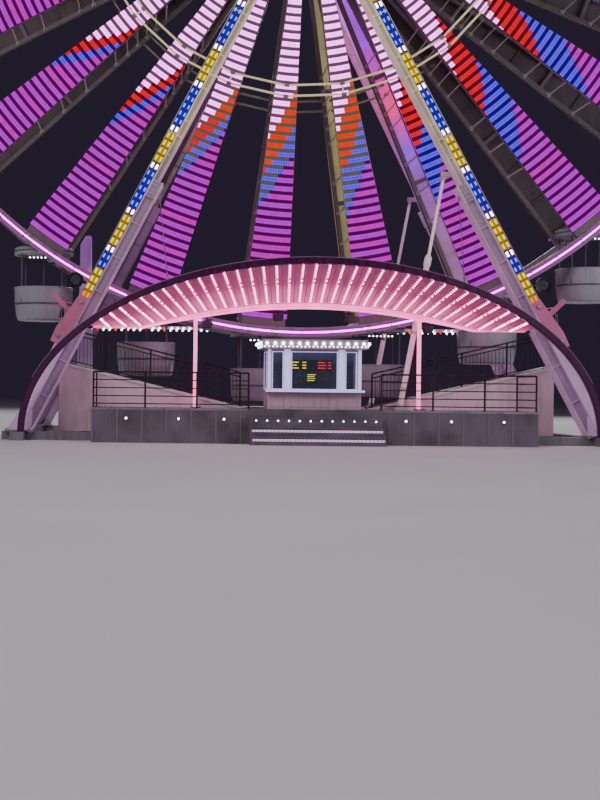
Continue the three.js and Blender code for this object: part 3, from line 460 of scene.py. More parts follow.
LAMP_PINK = glow("lamp_pink", (1.0, 0.42, 0.62), 9.0, body=0.6)
LAMP_COOL = glow("lamp_cool", (0.80, 0.92, 1.0), 8.0, body=0.8)
# The bulb channels glow pink: painted light spill from the bulbs.
CHANNEL_SPILL = glow("channel_spill", (0.60, 0.07, 0.25), body=0.6)
RISER_LIGHT = glow("riser_light", (0.35, 0.16, 0.45), 1.4, (1.0, 0.75, 1.0), (0.11, 0.14), 0.5)
GLOBE_WHITE = glow("globe_white", (0.90, 0.96, 1.0), 8.0, body=0.9)
# Glowing patches on the legs' dark panels round each pair of dashes: painted LED spill in the dashes'
# colours.
PANEL_BLUE_SPILL = glow("panel_blue_spill", (0.01, 0.0, 0.55))
PANEL_YELLOW_SPILL = glow("panel_yellow_spill", (0.50, 0.30, 0.0))
PANEL_VIOLET_SPILL = glow("panel_violet_spill", (0.12, 0.05, 0.26))
NEON = glow("neon", (1.0, 0.30, 1.0), 4.5, body=0.5)
# A dim glow of the neon's colour: painted light spill on the rim behind the tube.
NEON_SPILL = glow("neon_spill", (0.40, 0.0, 0.46))
INTERIOR_LIGHT = glow("interior_light", (0.75, 0.85, 1.0), 5.0, body=0.7)


# The wheel

BAND_HALF = tan(radians(2.9))
BOOM_HALF = tan(radians(2.5))
BAR_PITCH, BAR_HEIGHT, BAR_THICK = 0.2659, 0.158, 0.026
SHEET_THICK, BAND_MARGIN = 0.007, 0.012
FIRST_BAR, LAST_BAR = 1.75, 13.86
BARS = int((LAST_BAR - FIRST_BAR) / BAR_PITCH) + 1
LONGEST_PIECE = 4 * LED_CELL[0]
SPOKE_FACE = abs(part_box("front_left_spokes")[0].y)

# Radii in metres where white gives way to red, red to blue and blue to violet, each at the right and
# at the left edge of a band: on the wheel's left side and on its right side.
ZONES_LEFT = ((7.13, 8.87), (7.8, 9.5), (8.25, 10.13))
ZONES_RIGHT = ((6.0, 7.77), (7.85, 9.4), (9.5, 11.3))
ZONE_SINES = (-0.572, 0.644)
RED, ORANGE, VIOLET, MAGENTA, FIRST_SPILL, OLIVE_SPILL = 1, 4, 3, 5, 6, 10
MAGENTA_SHARE = 0.2
# Near the top and the bottom of the wheel the reds turn to orange, and the painted light spill behind the
# bars turns to painted olive floodlight.
ORANGE_LEAN, OLIVE_LEAN, ORANGE_RADIUS = 0.25, 0.4, 8.2

# Which spokes' sheets carry painted floodlight or painted LED spill; the rest are painted in shade.
SHEET_LIGHT_BY_SPOKE = {0: 1, 1: 2, 11: 3}
SHEET_RIBS = (4.0, 5.2, 7.6, 8.8, 11.3, 12.6)
TIE_RADII = (5.9, 6.36, 6.75, 7.15, 7.6, 8.1, 9.4, 10.4, 11.4)

RIM_LOW, RIM_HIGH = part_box("front_rim")
RIM_OUTER = (RIM_HIGH.x - RIM_LOW.x) / 2
RIM_RADIAL = 2 * (RIM_OUTER - PIVOT_RADIUS)
RIM_Y = abs(RIM_LOW.y + RIM_HIGH.y) / 2
RIM_DEPTH = RIM_HIGH.y - RIM_LOW.y
RIM_SIDES = 192
RING_REACH = max(abs(sin(FIRST_ANGLE + index * SPOKE_STEP)) for index in range(SPOKES))
RING_GAP = 0.34


def axes_at(angle):
    """Sideways, backward and outward directions at an angle from straight down."""
    return vec(cos(angle), 0, sin(angle)), Y, vec(sin(angle), 0, -cos(angle))


def wheel_spot(axes, radius, y, across=0.0):
    return HUB + axes[2] * radius + axes[0] * across + Y * y


SPOKE_AXES = [axes_at(FIRST_ANGLE + index * SPOKE_STEP) for index in range(SPOKES)]


def circle(count, radius, y, offset=0.0):
    """Points on a ring about the wheel's shaft, the first one straight up."""
    for index in range(count):
        angle = tau * (index + offset) / count
        yield HUB + vec(radius * sin(angle), y, radius * cos(angle))


def band_pieces(radius, angle):
    """The stretches of one bar from left to right, in metres, each with its zone of colour."""
    half = radius * BAND_HALF
    low, high = ZONE_SINES
    lean = min(1.0, max(0.0, (sin(angle) - low) / (high - low)))
    cuts = [-half]
    for one, two in zip(ZONES_LEFT, ZONES_RIGHT):
        right, left = (a + (b - a) * lean for a, b in zip(one, two))
        place = half * (1 - 2 * (radius - right) / (left - right))
        place = round(place / LED_CELL[0]) * LED_CELL[0]
        cuts.append(min(half, max(-half, place)))
    cuts.append(half)
    pieces = []
    for zone, (start, end) in enumerate(zip(cuts, cuts[1:])):
        count = ceil((end - start) / LONGEST_PIECE - 1e-6)
        for step in range(count):
            a, b = (start + (end - start) * (step + k) / count for k in (0, 1))
            pieces.append((a, b, zone))
    return pieces


def light_bars(side):
    """The rows of lamps on the outer face of the spokes in one plane, bent round the hub, with strips of
    painted light spill glowing on the sheet between the rows.
    """
    shape = Shape()
    sheet = SPOKE_FACE + SHEET_THICK

    def strip(angle, radius, start, end, inward, lift, half, slot, shift=0.0):
        middle = (start + end) / 2
        axes = axes_at(angle + middle / radius)
        centre = HUB + axes[2] * (radius - inward)
        centre.y = side * lift
        shape.box(centre, half, axes, slot, shift=shift * middle)

    for index in range(SPOKES):
        angle = FIRST_ANGLE + index * SPOKE_STEP
        lean = abs(sin(angle))
        for row in range(BARS):
            radius = LAST_BAR - row * BAR_PITCH
            violet = MAGENTA if RNG.random() < MAGENTA_SHARE else VIOLET
            near_hub = lean < OLIVE_LEAN and radius < ORANGE_RADIUS
            red = ORANGE if lean < ORANGE_LEAN or near_hub else RED
            pieces = band_pieces(radius, angle)
            for zone in range(4):
                ends = [place for one, two, kind in pieces if kind == zone for place in (one, two)]
                if ends:
                    # Each zone's strip on the sheet is painted light spill from its bars, painted olive
                    # floodlight near the top and bottom.
                    spill = OLIVE_SPILL if lean < OLIVE_LEAN and zone in (1, 2) else FIRST_SPILL + zone
                    half = ((ends[-1] - ends[0]) / 2, 0.0025, BAR_PITCH / 2 - 0.004)
                    strip(angle, radius, ends[0], ends[-1], BAR_PITCH / 2, sheet + 0.0035, half, spill)
            for start, end, zone in pieces:
                half = ((end - start) / 2 + 0.0005, BAR_THICK / 2, BAR_HEIGHT / 2)
                slot = (0, red, 2, violet)[zone]
                strip(angle, radius, start, end, 0, sheet + BAR_THICK / 2 + 0.006, half, slot, 1.0)
    shape.make(f"{PLANES[side]}_light_bars", LEDS, "rim_paint", body="wheel")


def band_sheets(side):
    """A thin tapered sheet behind each spoke's bars, edged by folded lips, and its cross ribs. Sheets and
    ribs take painted light by spoke: olive floodlight on one spoke low and one high, LED spill on the spokes
    beside them, painted shade on the rest.
    """
    shape = Shape()
    near, far = side * (SPOKE_FACE + 0.001), side * (SPOKE_FACE + SHEET_THICK)
    corners = ((FIRST_BAR, -1), (FIRST_BAR, 1), (LAST_BAR, 1), (LAST_BAR, -1))
    for index, axes in enumerate(SPOKE_AXES):
        tone = SHEET_LIGHT_BY_SPOKE.get(index % (SPOKES // 2), 0)
        outline = [wheel_spot(axes, radius, near, edge * (radius * BAND_HALF + BAND_MARGIN))
                   for radius, edge in corners]
        shape.prism(outline, Vector(), Y * (far - near), tone)
        for edge in (-1, 1):
            start, end = (wheel_spot(axes, radius, side * (SPOKE_FACE - 0.03),
                                     edge * (radius * BAND_HALF - BAND_MARGIN))
                          for radius in (3.0, LAST_BAR - 0.05))
            shape.beam(start, end, 0.008, 0.06, Y, 4)
        for radius in SHEET_RIBS:
            half = (radius * BOOM_HALF - 0.062, 0.03, 0.03)
            shape.box(wheel_spot(axes, radius, side * (SPOKE_FACE - 0.05)), half, axes, tone, 0.004)
    sheets = [SHEET_SHADED, SHEET_FLOODLIT, SHEET_LED_LIT, SHEET_MAUVE_LIT, SPOKE_PAINT]
    shape.make(f"{PLANES[side]}_band_sheets", sheets, "dark_steel", body="wheel")


def wheel_ties():
    """Round ties between the two planes at both edges of each spoke, each with a collar."""
    shape = Shape()
    end = SPOKE_FACE - 0.1
    collar = [(0.032, end - 0.13), (0.07, end - 0.13), (0.07, end - 0.12), (0.032, end - 0.11)]
    for axes in SPOKE_AXES:
        for edge in (-1, 1):
            for radius in TIE_RADII:
                spot = wheel_spot(axes, radius, 0, edge * radius * BOOM_HALF)
                shape.tube([spot - Y * end, spot + Y * end], 0.030 if radius > 9 else 0.022, 8)
                for side in (-1, 1):
                    shape.lathe(spot, Y * side, collar, 10, 1)
    shape.make("wheel_ties", [TIE_PAINT, STEEL], "dark_steel", body="wheel")


def rim(side):
    """A box-section rim with lips, joint plates and bosses, and the light tube on its outer face."""
    shape = Shape()
    inner = PIVOT_RADIUS - RIM_RADIAL / 2
    near, far = RIM_Y - RIM_DEPTH / 2, RIM_Y + RIM_DEPTH / 2
    lip, edge = 0.02, 0.012
    profile = [
        (inner, near + edge), (inner + edge, near), (RIM_OUTER - edge, near), (RIM_OUTER, near + edge),
        (RIM_OUTER, far - edge), (RIM_OUTER - edge, far), (RIM_OUTER - 0.05, far),
        (RIM_OUTER - 0.06, far - lip), (inner + 0.06, far - lip), (inner + 0.05, far), (inner + edge, far),
        (inner, far - edge)]
    shape.lathe(HUB, Y, [(radius, side * y) for radius, y in profile], RIM_SIDES, closed=True)
    for axes in SPOKE_AXES:
        for shift in (-0.42, 0.42):
            plate = wheel_spot(axes, PIVOT_RADIUS, side * (far - 0.01), shift)
            shape.box(plate, (0.07, 0.016, RIM_RADIAL / 2 - 0.012), axes, 1, 0.004)
            for height in (-0.1, 0.1):
                bolt = plate + axes[2] * height + Y * side * 0.016
                shape.lathe(bolt, Y * side, [(0, 0.016), (0.016, 0.014), (0.018, 0)], 6, 1)
        boss = wheel_spot(axes, PIVOT_RADIUS, side * (near + 0.004))
        for ring in ([(0.09, 0.02), (0.115, 0.014), (0.12, 0), (0, 0)],
                     [(0.09, 0.02), (0.064, 0.02), (0.064, -0.1)]):
            shape.lathe(boss, -Y * side, ring, 20, 1)
    node = f"{PLANES[side]}_rim"
    shape.make(f"{node}_beam", [RIM_PAINT, GREY_PAINT], "rim_paint", [node], "wheel")

    tube = Shape()
    spin = [axes_at(tau * step / 240) for step in range(240)]
    path = [wheel_spot(axes, PIVOT_RADIUS, side * (far - lip + 0.014)) for axes in spin]
    tube.tube(path, 0.032, 8, closed=True)
    # A flat band behind the tube glows as painted light spill from the neon.
    back = [(PIVOT_RADIUS + wide, side * (far - lip + deep)) for wide, deep in
            ((-0.085, 0.001), (0.085, 0.001), (0.085, 0.007), (-0.085, 0.007))]
    tube.lathe(HUB, Y, back, RIM_SIDES, 2, True)
    for index in range(4 * SPOKES):
        axes = axes_at(tau * index / (4 * SPOKES))
        tube.box(wheel_spot(axes, PIVOT_RADIUS, side * (far - lip + 0.012)), (0.02, 0.028, 0.06), axes, 1)
    tube.make(f"{node}_light", [NEON, CABIN_DARK, NEON_SPILL], "rim_paint", body="wheel")


def inner_rings(side):
    """Two rings of round tube, straight between the spokes, with clamps at each spoke."""
    shape = Shape()
    low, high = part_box("front_inner_rings")
    half = (high.y - low.y) / 2
    y = side * (abs(low.y) - half)
    outer = ((high.x - low.x) / 2 - half) / RING_REACH
    inner = outer - RING_GAP
    for radius in (inner, outer):
        shape.tube([wheel_spot(axes, radius, y) for axes in SPOKE_AXES], half, 10, closed=True)
    for index, axes in enumerate(SPOKE_AXES):
        for radius in (inner, outer):
            shape.box(wheel_spot(axes, radius, y), (0.075, half + 0.004, 0.05), axes, 1, 0.006)
        if index % 2 == 0:
            shape.tube([wheel_spot(axes, radius, y) for radius in (inner, outer)], 0.025, 8)
    # The rear rings take the darker copy of the ring paint as painted shade.
    paints = [RING_PAINT if side < 0 else RING_PAINT_SHADED, OLIVE_PAINT]
    plane = PLANES[side]
    shape.make(f"{plane}_ring_tubes", paints, "rim_paint", [f"{plane}_inner_rings"], "wheel")


def hub():
    """The drum with ribs and bolted flanges, the discs that carry the spokes, and the shaft."""
    shape = Shape()
    low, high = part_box("hub")
    radius, end = (high.z - low.z) / 2, high.y
    face, inside = SPOKE_FACE + 0.012, SPOKE_FACE - 0.17
    half = [
        (0, end), (0.12, end), (0.15, end - 0.03), (0.15, face + 0.03), (0.36, face + 0.03),
        (0.38, face + 0.01), (0.5, face), (0.5, inside), (radius, inside), (radius, inside - 0.06),
        (radius - 0.08, inside - 0.09), (radius - 0.1, 0.5), (radius - 0.06, 0.46), (radius - 0.06, 0.40),
        (radius - 0.1, 0.36)]
    shape.lathe(HUB, Y, half + [(r, -y) for r, y in reversed(half)], 48)
    discs = Shape()
    for side in (-1, 1):
        for count, ring, size, y, facing in ((24, 0.78, 0.03, inside, -1), (12, 0.44, 0.026, face, 1)):
            bolt = [(0, 0.03), (size * 0.9, 0.03), (size, 0.024), (size, -0.01)]
            for spot in circle(count, ring, side * y, 0.5):
                shape.lathe(spot, Y * side * facing, bolt, 6, 1)
        for axes in SPOKE_AXES:
            for radius in (0.72, 1.06):
                spot = wheel_spot(axes, radius, side * (RIM_Y + 0.058))
                discs.lathe(spot, Y * side, [(0, 0.024), (0.024, 0.024), (0.027, 0.018), (0.027, -0.01)], 6)
            gusset = wheel_spot(axes, 1.45, side * (SPOKE_FACE - 0.004))
            discs.box(gusset, (0.1, 0.012, 0.34), axes, 1, 0.004)
    shape.make("hub_drum", [GREY_PAINT, STEEL], "dark_steel", ["hub"], "wheel")
    discs.make("hub_disc_bolts", [STEEL, OLIVE_PAINT], "dark_steel", body="wheel")


# The gondolas


def gondola(index):
    """One hanging cabin: a tub with a lip and seat, four posts, a ribbed roof and its lights."""
    pivot = PIVOTS[index]
    name = f"gondola_{index + 1:02d}"
    low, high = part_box(name)
    bottom, top = low.z - pivot.z, high.z - pivot.z
    shape = Shape()
    edge = -1.2
    tub = [
        (0, bottom), (0.78, bottom), (0.83, bottom + 0.03), (0.88, bottom + 0.16), (0.92, -1.75),
        (0.935, -1.42), (0.938, edge - 0.03), (0.95, edge - 0.02), (0.95, edge), (0.94, edge + 0.012),
        (0.88, edge + 0.012), (0.87, edge), (0.87, edge - 0.05), (0.89, edge - 0.06), (0.86, -1.62),
        (0.82, -1.76), (0.46, -1.78), (0.44, -1.81), (0.44, bottom + 0.09), (0, bottom + 0.09)]
    tub_band = [(0.918, -1.75), (0.94, -1.75), (0.94, -1.70), (0.92, -1.70)]
    seat = [(0.45, -1.775), (0.47, -1.74), (0.80, -1.735), (0.825, -1.76)]
    back = [(0.825, -1.72), (0.78, -1.66), (0.80, -1.34), (0.825, -1.30), (0.855, -1.33), (0.85, -1.6)]
    roof = [
        (0, -0.10), (0.86, -0.10), (0.88, -0.15), (0.945, -0.15), (0.955, -0.13), (0.955, 0.02),
        (0.94, 0.06), (0.89, 0.085), (0.72, 0.15), (0.50, 0.20), (0.25, 0.245), (0.12, top - 0.02),
        (0.05, top), (0, top)]
    roof_band = [(0.950, -0.06), (0.959, -0.06), (0.959, -0.02), (0.950, -0.02)]
    for profile, slot, closed in ((tub, 0, False), (tub_band, 1, True), (seat, 2, False), (back, 2, True),
                                  (roof, 0, False), (roof_band, 1, True)):
        shape.lathe(pivot, Z, profile, 32, slot, closed)
    for quarter in range(4):
        angle = pi / 4 + quarter * pi / 2
        post = pivot + vec(cos(angle), sin(angle), 0) * 0.905
        shape.tube([post + Z * (edge - 0.5), post + Z * -0.12], 0.028, 10, 1)
        shape.lathe(post + Z * edge, Z, [(0.028, 0), (0.043, 0.01), (0.043, 0.09), (0.028, 0.1)], 10, 1)
    pole = [(0, -0.1), (0.03, -0.1), (0.03, -1.42), (0.16, -1.43), (0.17, -1.45), (0.16, -1.47),
            (0.03, -1.49), (0.03, bottom + 0.1), (0, bottom + 0.1)]
    shape.lathe(pivot, Z, pole, 14, 1)
    end = abs(low.y)
    arm = [(0, 0.84), (0.075, 0.84), (0.085, 0.88), (0.085, 0.965), (0.06, 0.972), (0.06, end), (0, end)]
    for side in (-1, 1):
        shape.lathe(pivot, Y * side, arm, 16, 3)
        rail = pivot + Y * side * 0.915 - Z * 0.30
        shape.box(rail, (0.42, 0.018, 0.03), slot=1, chamfer=0.004)
        for across in (-0.34, 0.34):
            foot = rail + X * across
            shape.tube([foot, foot - Y * side * 0.05 + Z * 0.17], 0.012, 8, 1)
        for lamp in range(7):
            shape.bulb(rail + X * (lamp - 3) * 0.12 + Y * side * 0.018, 0.024, 4, 8, Y)
    ridge = ((0.93, 0.07), (0.72, 0.158), (0.5, 0.208), (0.25, 0.253), (0.1, top - 0.012))
    for rib in range(8):
        angle = tau * rib / 8
        out = vec(cos(angle), sin(angle), 0)
        shape.tube([pivot + out * radius + Z * height for radius, height in ridge], 0.012, 6, 1)
    materials = [CABIN_WHITE, CABIN_DARK, SEAT_VINYL, STEEL, LAMP_WHITE]
    shape.make(f"{name}_cabin", materials, "cabin_shell", [name], name)


# The A-frames

BASE_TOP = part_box("base_frame")[1].z
HEAD_Y, FOOT_X, FOOT_Y, LEG_APEX = 1.775, 8.745, 3.4, 17.35
LEG_SLOPE = FOOT_X / (LEG_APEX - BASE_TOP)
LEG_LEAN = (FOOT_Y - HEAD_Y) / (HUB.z - BASE_TOP)
LEG_DEEP = 0.25
PANEL_HALF = 0.145
INNER_HIGH, INNER_LOW_PART = 0.33, 0.47
SPLICE_Z, PANEL_END_Z = 7.65, 4.2
DASH_PITCH = 0.259
DASH_COLOURS = (0, 1, 1, 1, 1, 0, 2, 2, 2, 2, 2)
DASH_START = 6
STRUT_HEAD_X, STRUT_HEAD_Z = 4.08, 8.12
STRUT_FOOT_X, STRUT_FOOT_Y = 2.8, 2.72


def leg_point(across, side, height):
    y = side * (HEAD_Y + LEG_LEAN * (HUB.z - height))
    return vec(across * LEG_SLOPE * (LEG_APEX - height), y, height)


def leg_axes(across, side):
    """Outward, facing and upward directions of a leg."""
    along = (leg_point(across, side, HUB.z) - leg_point(across, side, 0)).normalized()
    outward = (X * across - along * along.dot(X * across)).normalized()
    front = along.cross(outward)
    return outward, -front if front.y * side < 0 else front, along


def leg(across, side):
    """A box tube that carries a light panel, and an open girder along its inner edge. Its paint carries
    painted light by height, painted shade on the web, and painted LED spill round the dashes.
    """
    axes = leg_axes(across, side)
    outward, front, along = axes
    shape = Shape()
    top_z, foot_z = HUB.z - 0.8, BASE_TOP + 0.16
    full = 2 * LEG_DEEP

    def at(height, out=0.0, deep=0.0):
        return leg_point(across, side, height) + outward * out + front * deep

    def run(low_z, high_z, out, deep, width, depth, slot=0, chamfer=0.006):
        low, high = at(low_z, out, deep), at(high_z, out, deep)
        shape.box((low + high) / 2, (width / 2, depth / 2, (high - low).length / 2), axes, slot, chamfer)

    run(foot_z, top_z, 0, -0.02, 2 * PANEL_HALF, full - 0.04)
    for low_z, high_z, inner in ((SPLICE_Z, top_z, INNER_HIGH), (foot_z, SPLICE_Z, INNER_LOW_PART)):
        middle = -(PANEL_HALF + inner) / 2
        run(low_z, high_z, -inner + 0.012, 0, 0.024, full)
        run(low_z, high_z, -PANEL_HALF - 0.012, 0, 0.024, full)
        # The web between the flanges takes the leg's tones darkened as painted shade.
        run(low_z, high_z, middle, 0, inner - PANEL_HALF - 0.03, 0.30, 11)
        stiffeners = int((high_z - low_z) / 0.95)
        for step in range(1, stiffeners):
            for deep in (-0.19, 0.19):
                spot = at(low_z + step * (high_z - low_z) / stiffeners, middle, deep)
                shape.box(spot, ((inner - PANEL_HALF - 0.05) / 2, 0.045, 0.008), axes, 0, 0.002)
    middle = -(PANEL_HALF + INNER_LOW_PART) / 2
    # The splice plates; the middle one takes the web's painted shade.
    for out, width, tall, deeper, slot in ((-INNER_LOW_PART, 0.04, 0.26, 0.05, 0),
                                           (-PANEL_HALF - 0.012, 0.05, 0.26, 0.05, 0),
                                           (middle, 0.31, 0.25, 0.03, 11)):
        run(SPLICE_Z - tall, SPLICE_Z + tall, out, 0, width, full + deeper, slot)
    for row in range(4):
        for out in (-0.09, 0.0, 0.09):
            spot = at(SPLICE_Z - 0.18 + row * 0.12, middle + out, LEG_DEEP + 0.015)
            shape.lathe(spot, front, [(0, 0.02), (0.019, 0.02), (0.022, 0.015), (0.022, -0.01)], 6, 3)
    seam = SPLICE_Z + 1.6
    while seam < top_z - 1:
        run(seam - 0.012, seam + 0.012, -0.09, -0.01, 0.48, full + 0.004, 0, 0.002)
        seam += 1.9
    run(PANEL_END_Z - 0.1, top_z, 0, LEG_DEEP - 0.03, 2 * PANEL_HALF - 0.02, 0.026, 1, 0.004)
    for out in (-PANEL_HALF + 0.005, PANEL_HALF - 0.005):
        run(PANEL_END_Z - 0.1, top_z, out, LEG_DEEP - 0.025, 0.010, 0.05, 0, 0.002)
    for dash in range(int((at(top_z) - at(PANEL_END_Z)).length / DASH_PITCH)):
        colour = DASH_COLOURS[(dash - DASH_START) % len(DASH_COLOURS)]
        if dash < 4:
            colour = 3 if dash < 1 else 1
        middle = at(PANEL_END_Z) + along * ((dash + 0.5) * DASH_PITCH)
        # Behind each pair of dashes a glowing patch is painted LED spill on the panel.
        patch = (PANEL_HALF - 0.03, 0.004, DASH_PITCH / 2 - 0.012)
        shape.box(middle + front * (LEG_DEEP - 0.014), patch, axes, (8, 9, 10, 9)[colour])
        for out in (-0.073, 0.073):
            half = (0.026, 0.008, 0.062) if colour == 2 else (0.033, 0.008, 0.076)
            shape.box(middle + outward * out + front * (LEG_DEEP - 0.005), half, axes, 4 + colour, 0.006)
    plate = [at(4.25, 0.165), at(4.25, -0.165), at(3.1, -0.12), at(2.8, 0.10), at(2.80, 0.30), at(3.2, 0.33)]
    shape.prism(plate, front * (LEG_DEEP - 0.045), front * 0.045, 2)
    pin = [(0, 0.05), (0.06, 0.05), (0.07, 0.04), (0.07, -0.02)]
    for height, out in ((4.08, 0.03), (3.0, 0.17)):
        shape.lathe(at(height, out, LEG_DEEP), front, pin, 16, 3)
    foot = leg_point(across, side, BASE_TOP)
    foot.x -= across * 0.16
    shape.block(foot + vec(-0.42, -0.33, 0.001), foot + vec(0.42, 0.33, 0.05), 3, 0.006)
    for sx in (-0.36, 0.36):
        for sy in (-0.27, 0.27):
            bolt = [(0, 0.045), (0.03, 0.045), (0.034, 0.035), (0.034, 0)]
            shape.lathe(foot + vec(sx, sy, 0.05), Z, bolt, 6, 3)
    for sy in (-0.16, 0.16):
        web = [(foot.x - 0.36, BASE_TOP + 0.05), (foot.x + 0.36, BASE_TOP + 0.05),
               (foot.x + 0.2 - across * 0.2, BASE_TOP + 0.62), (foot.x - 0.2 - across * 0.2, BASE_TOP + 0.62)]
        shape.plate(web, foot.y + sy - 0.012, 0.024)
    # Front legs take painted floodlight, the rear right leg painted LED spill, the rear left leg painted
    # shade.
    steel = LEG_FLOODLIT if side < 0 else (REAR_LEG_SHADED if across < 0 else REAR_LEG_LED_LIT)
    materials = [steel, PANEL_BLACK, PLATE_PINK, STEEL, LAMP_WHITE, LAMP_YELLOW, LAMP_BLUE, LAMP_ORANGE,
                 PANEL_VIOLET_SPILL, PANEL_YELLOW_SPILL, PANEL_BLUE_SPILL, LEG_WEB_SHADED]
    node = f"{PLANES[side]}_{SIDES[across]}_leg"
    shape.make(f"{node}_girder", materials, "painted_steel", [node])


def bearing_head(side):
    node = f"{PLANES[side]}_bearing"
    low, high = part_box(node)
    near, far = sorted((abs(low.y), abs(high.y)))
    radius = (high.z - low.z) / 2
    shape = Shape()
    profile = [(0.16, near), (radius - 0.02, near), (radius, near + 0.02), (radius, far - 0.12),
               (radius - 0.03, far - 0.1), (0.62, far - 0.1), (0.6, far - 0.02), (0.57, far), (0.16, far)]
    shape.lathe(HUB, Y, [(r, side * y) for r, y in profile], 48, closed=True)
    cap = [(0, far), (0.24, far), (0.3, far - 0.03), (0.3, far - 0.06)]
    shape.lathe(HUB, Y, [(r, side * y) for r, y in cap], 32, 1)
    for count, ring, size, y in ((16, 0.44, 0.028, far), (20, 0.85, 0.03, far - 0.1)):
        for spot in circle(count, ring, side * (y - 0.002)):
            shape.lathe(spot, Y * side, [(0, 0.026), (size, 0.026), (size, -0.01)], 6, 1)
    shape.make(f"{node}_housing", [GREY_PAINT, STEEL], "dark_steel", [node])


def strut(side):
    """A telescopic prop with collars, a clevis at the leg and a swivel foot on the deck."""
    foot = vec(STRUT_FOOT_X, side * STRUT_FOOT_Y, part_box("platform")[1].z)
    on_leg = leg_point(1, side, STRUT_HEAD_Z)
    head = vec(STRUT_HEAD_X, on_leg.y, STRUT_HEAD_Z)
    axis, length = (head - foot).normalized(), (head - foot).length
    shape = Shape()
    tubes = [(0, 0.1), (0.085, 0.1), (0.085, 0.61 * length), (0.105, 0.61 * length + 0.01),
             (0.11, 0.62 * length), (0.11, 0.64 * length), (0.095, 0.65 * length), (0.06, 0.655 * length),
             (0.05, 0.66 * length), (0.05, length - 0.2), (0, length - 0.2)]
    shape.lathe(foot, axis, tubes, 24)
    for place in (0.08, 0.32, 0.56):
        collar = [(radius, place * length + high) for radius, high in
                  ((0.083, 0), (0.088, 0.01), (0.088, 0.1), (0.083, 0.11))]
        shape.lathe(foot, axis, collar, 24, 1, True)
    shape.block(foot - vec(0.18, 0.16, 0), foot + vec(0.18, 0.16, 0.03), 1, 0.004)
    for dy in (-0.07, 0.07):
        ear = [(foot.x + x, foot.z + z) for x, z in ((-0.1, 0.02), (0.1, 0.02), (0.05, 0.2), (-0.05, 0.2))]
        shape.plate(ear, foot.y + dy - 0.01, 0.02, 1)
    shape.beam(foot + axis * (length - 0.28), head, 0.1, 0.08, Y, 1, 0.01)
    for spot, radius, half in ((foot + Z * 0.12, 0.028, 0.1), (head, 0.035, 0.085)):
        shape.lathe(spot, Y, [(0, -half), (radius, -half), (radius, half), (0, half)], 14, 1)
    for dy in (-0.05, 0.05):
        shape.beam(head + Y * dy - X * 0.1, on_leg + Y * dy - X * 0.45, 0.15, 0.02, Y, 1, 0.004)
    node = f"{PLANES[side]}_strut"
    shape.make(f"{node}_prop", [STRUT_PAINT, TIE_PAINT], "bright_steel", [node])


# Canopy

ARCH_LOW, ARCH_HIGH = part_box("canopy_arch")
ARCH_SIZE = 0.20
ARCH_HALF = ARCH_HIGH.x - ARCH_SIZE / 2
ARCH_BASE = ARCH_LOW.z
ARCH_RISE = ARCH_HIGH.z - ARCH_SIZE / 2 - ARCH_BASE
ARCH_FRONT = ARCH_LOW.y + ARCH_SIZE / 2
ARCH_SWEEP = ARCH_HIGH.y - ARCH_SIZE / 2 - ARCH_FRONT
ARCH_STEPS = 96
INNER_LOW, INNER_RISE, INNER_HALF = 3.40, 0.70, 4.95
INNER_RATIO, INNER_SPREAD = 0.8, 8
BEAM_END, BEAM_TOP = 6.5, 0.1
TAPER_START, END_TAPER = 3.6, 0.62
BEAM_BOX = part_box("canopy_beam")
BEAM_DEPTH = BEAM_BOX[1].y - BEAM_BOX[0].y
BEAM_Y = (BEAM_BOX[1].y + BEAM_BOX[0].y) / 2
SHELL_END = 6.45
STRIPS = 37
BULBS_PER_ROW = 18


def arch_place(angle):
    """A point on the arch's centre line and the outward direction there."""
    place = vec(ARCH_HALF * sin(angle), ARCH_FRONT + ARCH_SWEEP * sin(angle) ** 2,
                ARCH_BASE + ARCH_RISE * cos(angle))
    return place, vec(ARCH_RISE * sin(angle), 0, ARCH_HALF * cos(angle)).normalized()


def inner_height(x):
    return INNER_LOW + INNER_RISE * max(0.0, 1 - (x / INNER_HALF) ** 2)


def shell_edges(share):
    """The front and the inner edge of the canopy at a share from -1 to 1 of its width."""
    front, _ = arch_place(share * asin(SHELL_END / ARCH_HALF))
    front.y += ARCH_SIZE / 2
    x = front.x * (INNER_RATIO + (1 - INNER_RATIO) * abs(front.x / SHELL_END) ** INNER_SPREAD)
    return front, vec(x, BEAM_BOX[0].y, inner_height(x))


def canopy_arch():
    """A box tube with cut edges, bent to an arch that sweeps back, and a lighter bead along its upper front
    edge as a painted highlight.
    """
    shape = Shape()
    half, cut = ARCH_SIZE / 2, 0.03
    outline = [(-half + cut, -half), (half - cut, -half), (half, -half + cut), (half, half - cut),
               (half - cut, half), (-half + cut, half), (-half, half - cut), (-half, -half + cut)]
    rows, trim = [], []
    for step in range(ARCH_STEPS + 1):
        centre, outward = arch_place(pi * (step / ARCH_STEPS - 0.5))
        rows.append([centre + outward * high + Y * deep for high, deep in outline])
        centre, outward = arch_place(radians(-72) + radians(144) * step / ARCH_STEPS)
        trim.append(centre + outward * (half - 0.002) - Y * (half - 0.02))
    shape.loft(rows, caps=True)
    # The bead's lighter paint along the upper front edge is a painted highlight.
    shape.tube(trim, 0.011, 6, 1)
    shape.make("canopy_front_arch", [ARCH_PAINT, RIM_PAINT], "black_rail", ["canopy_arch"])


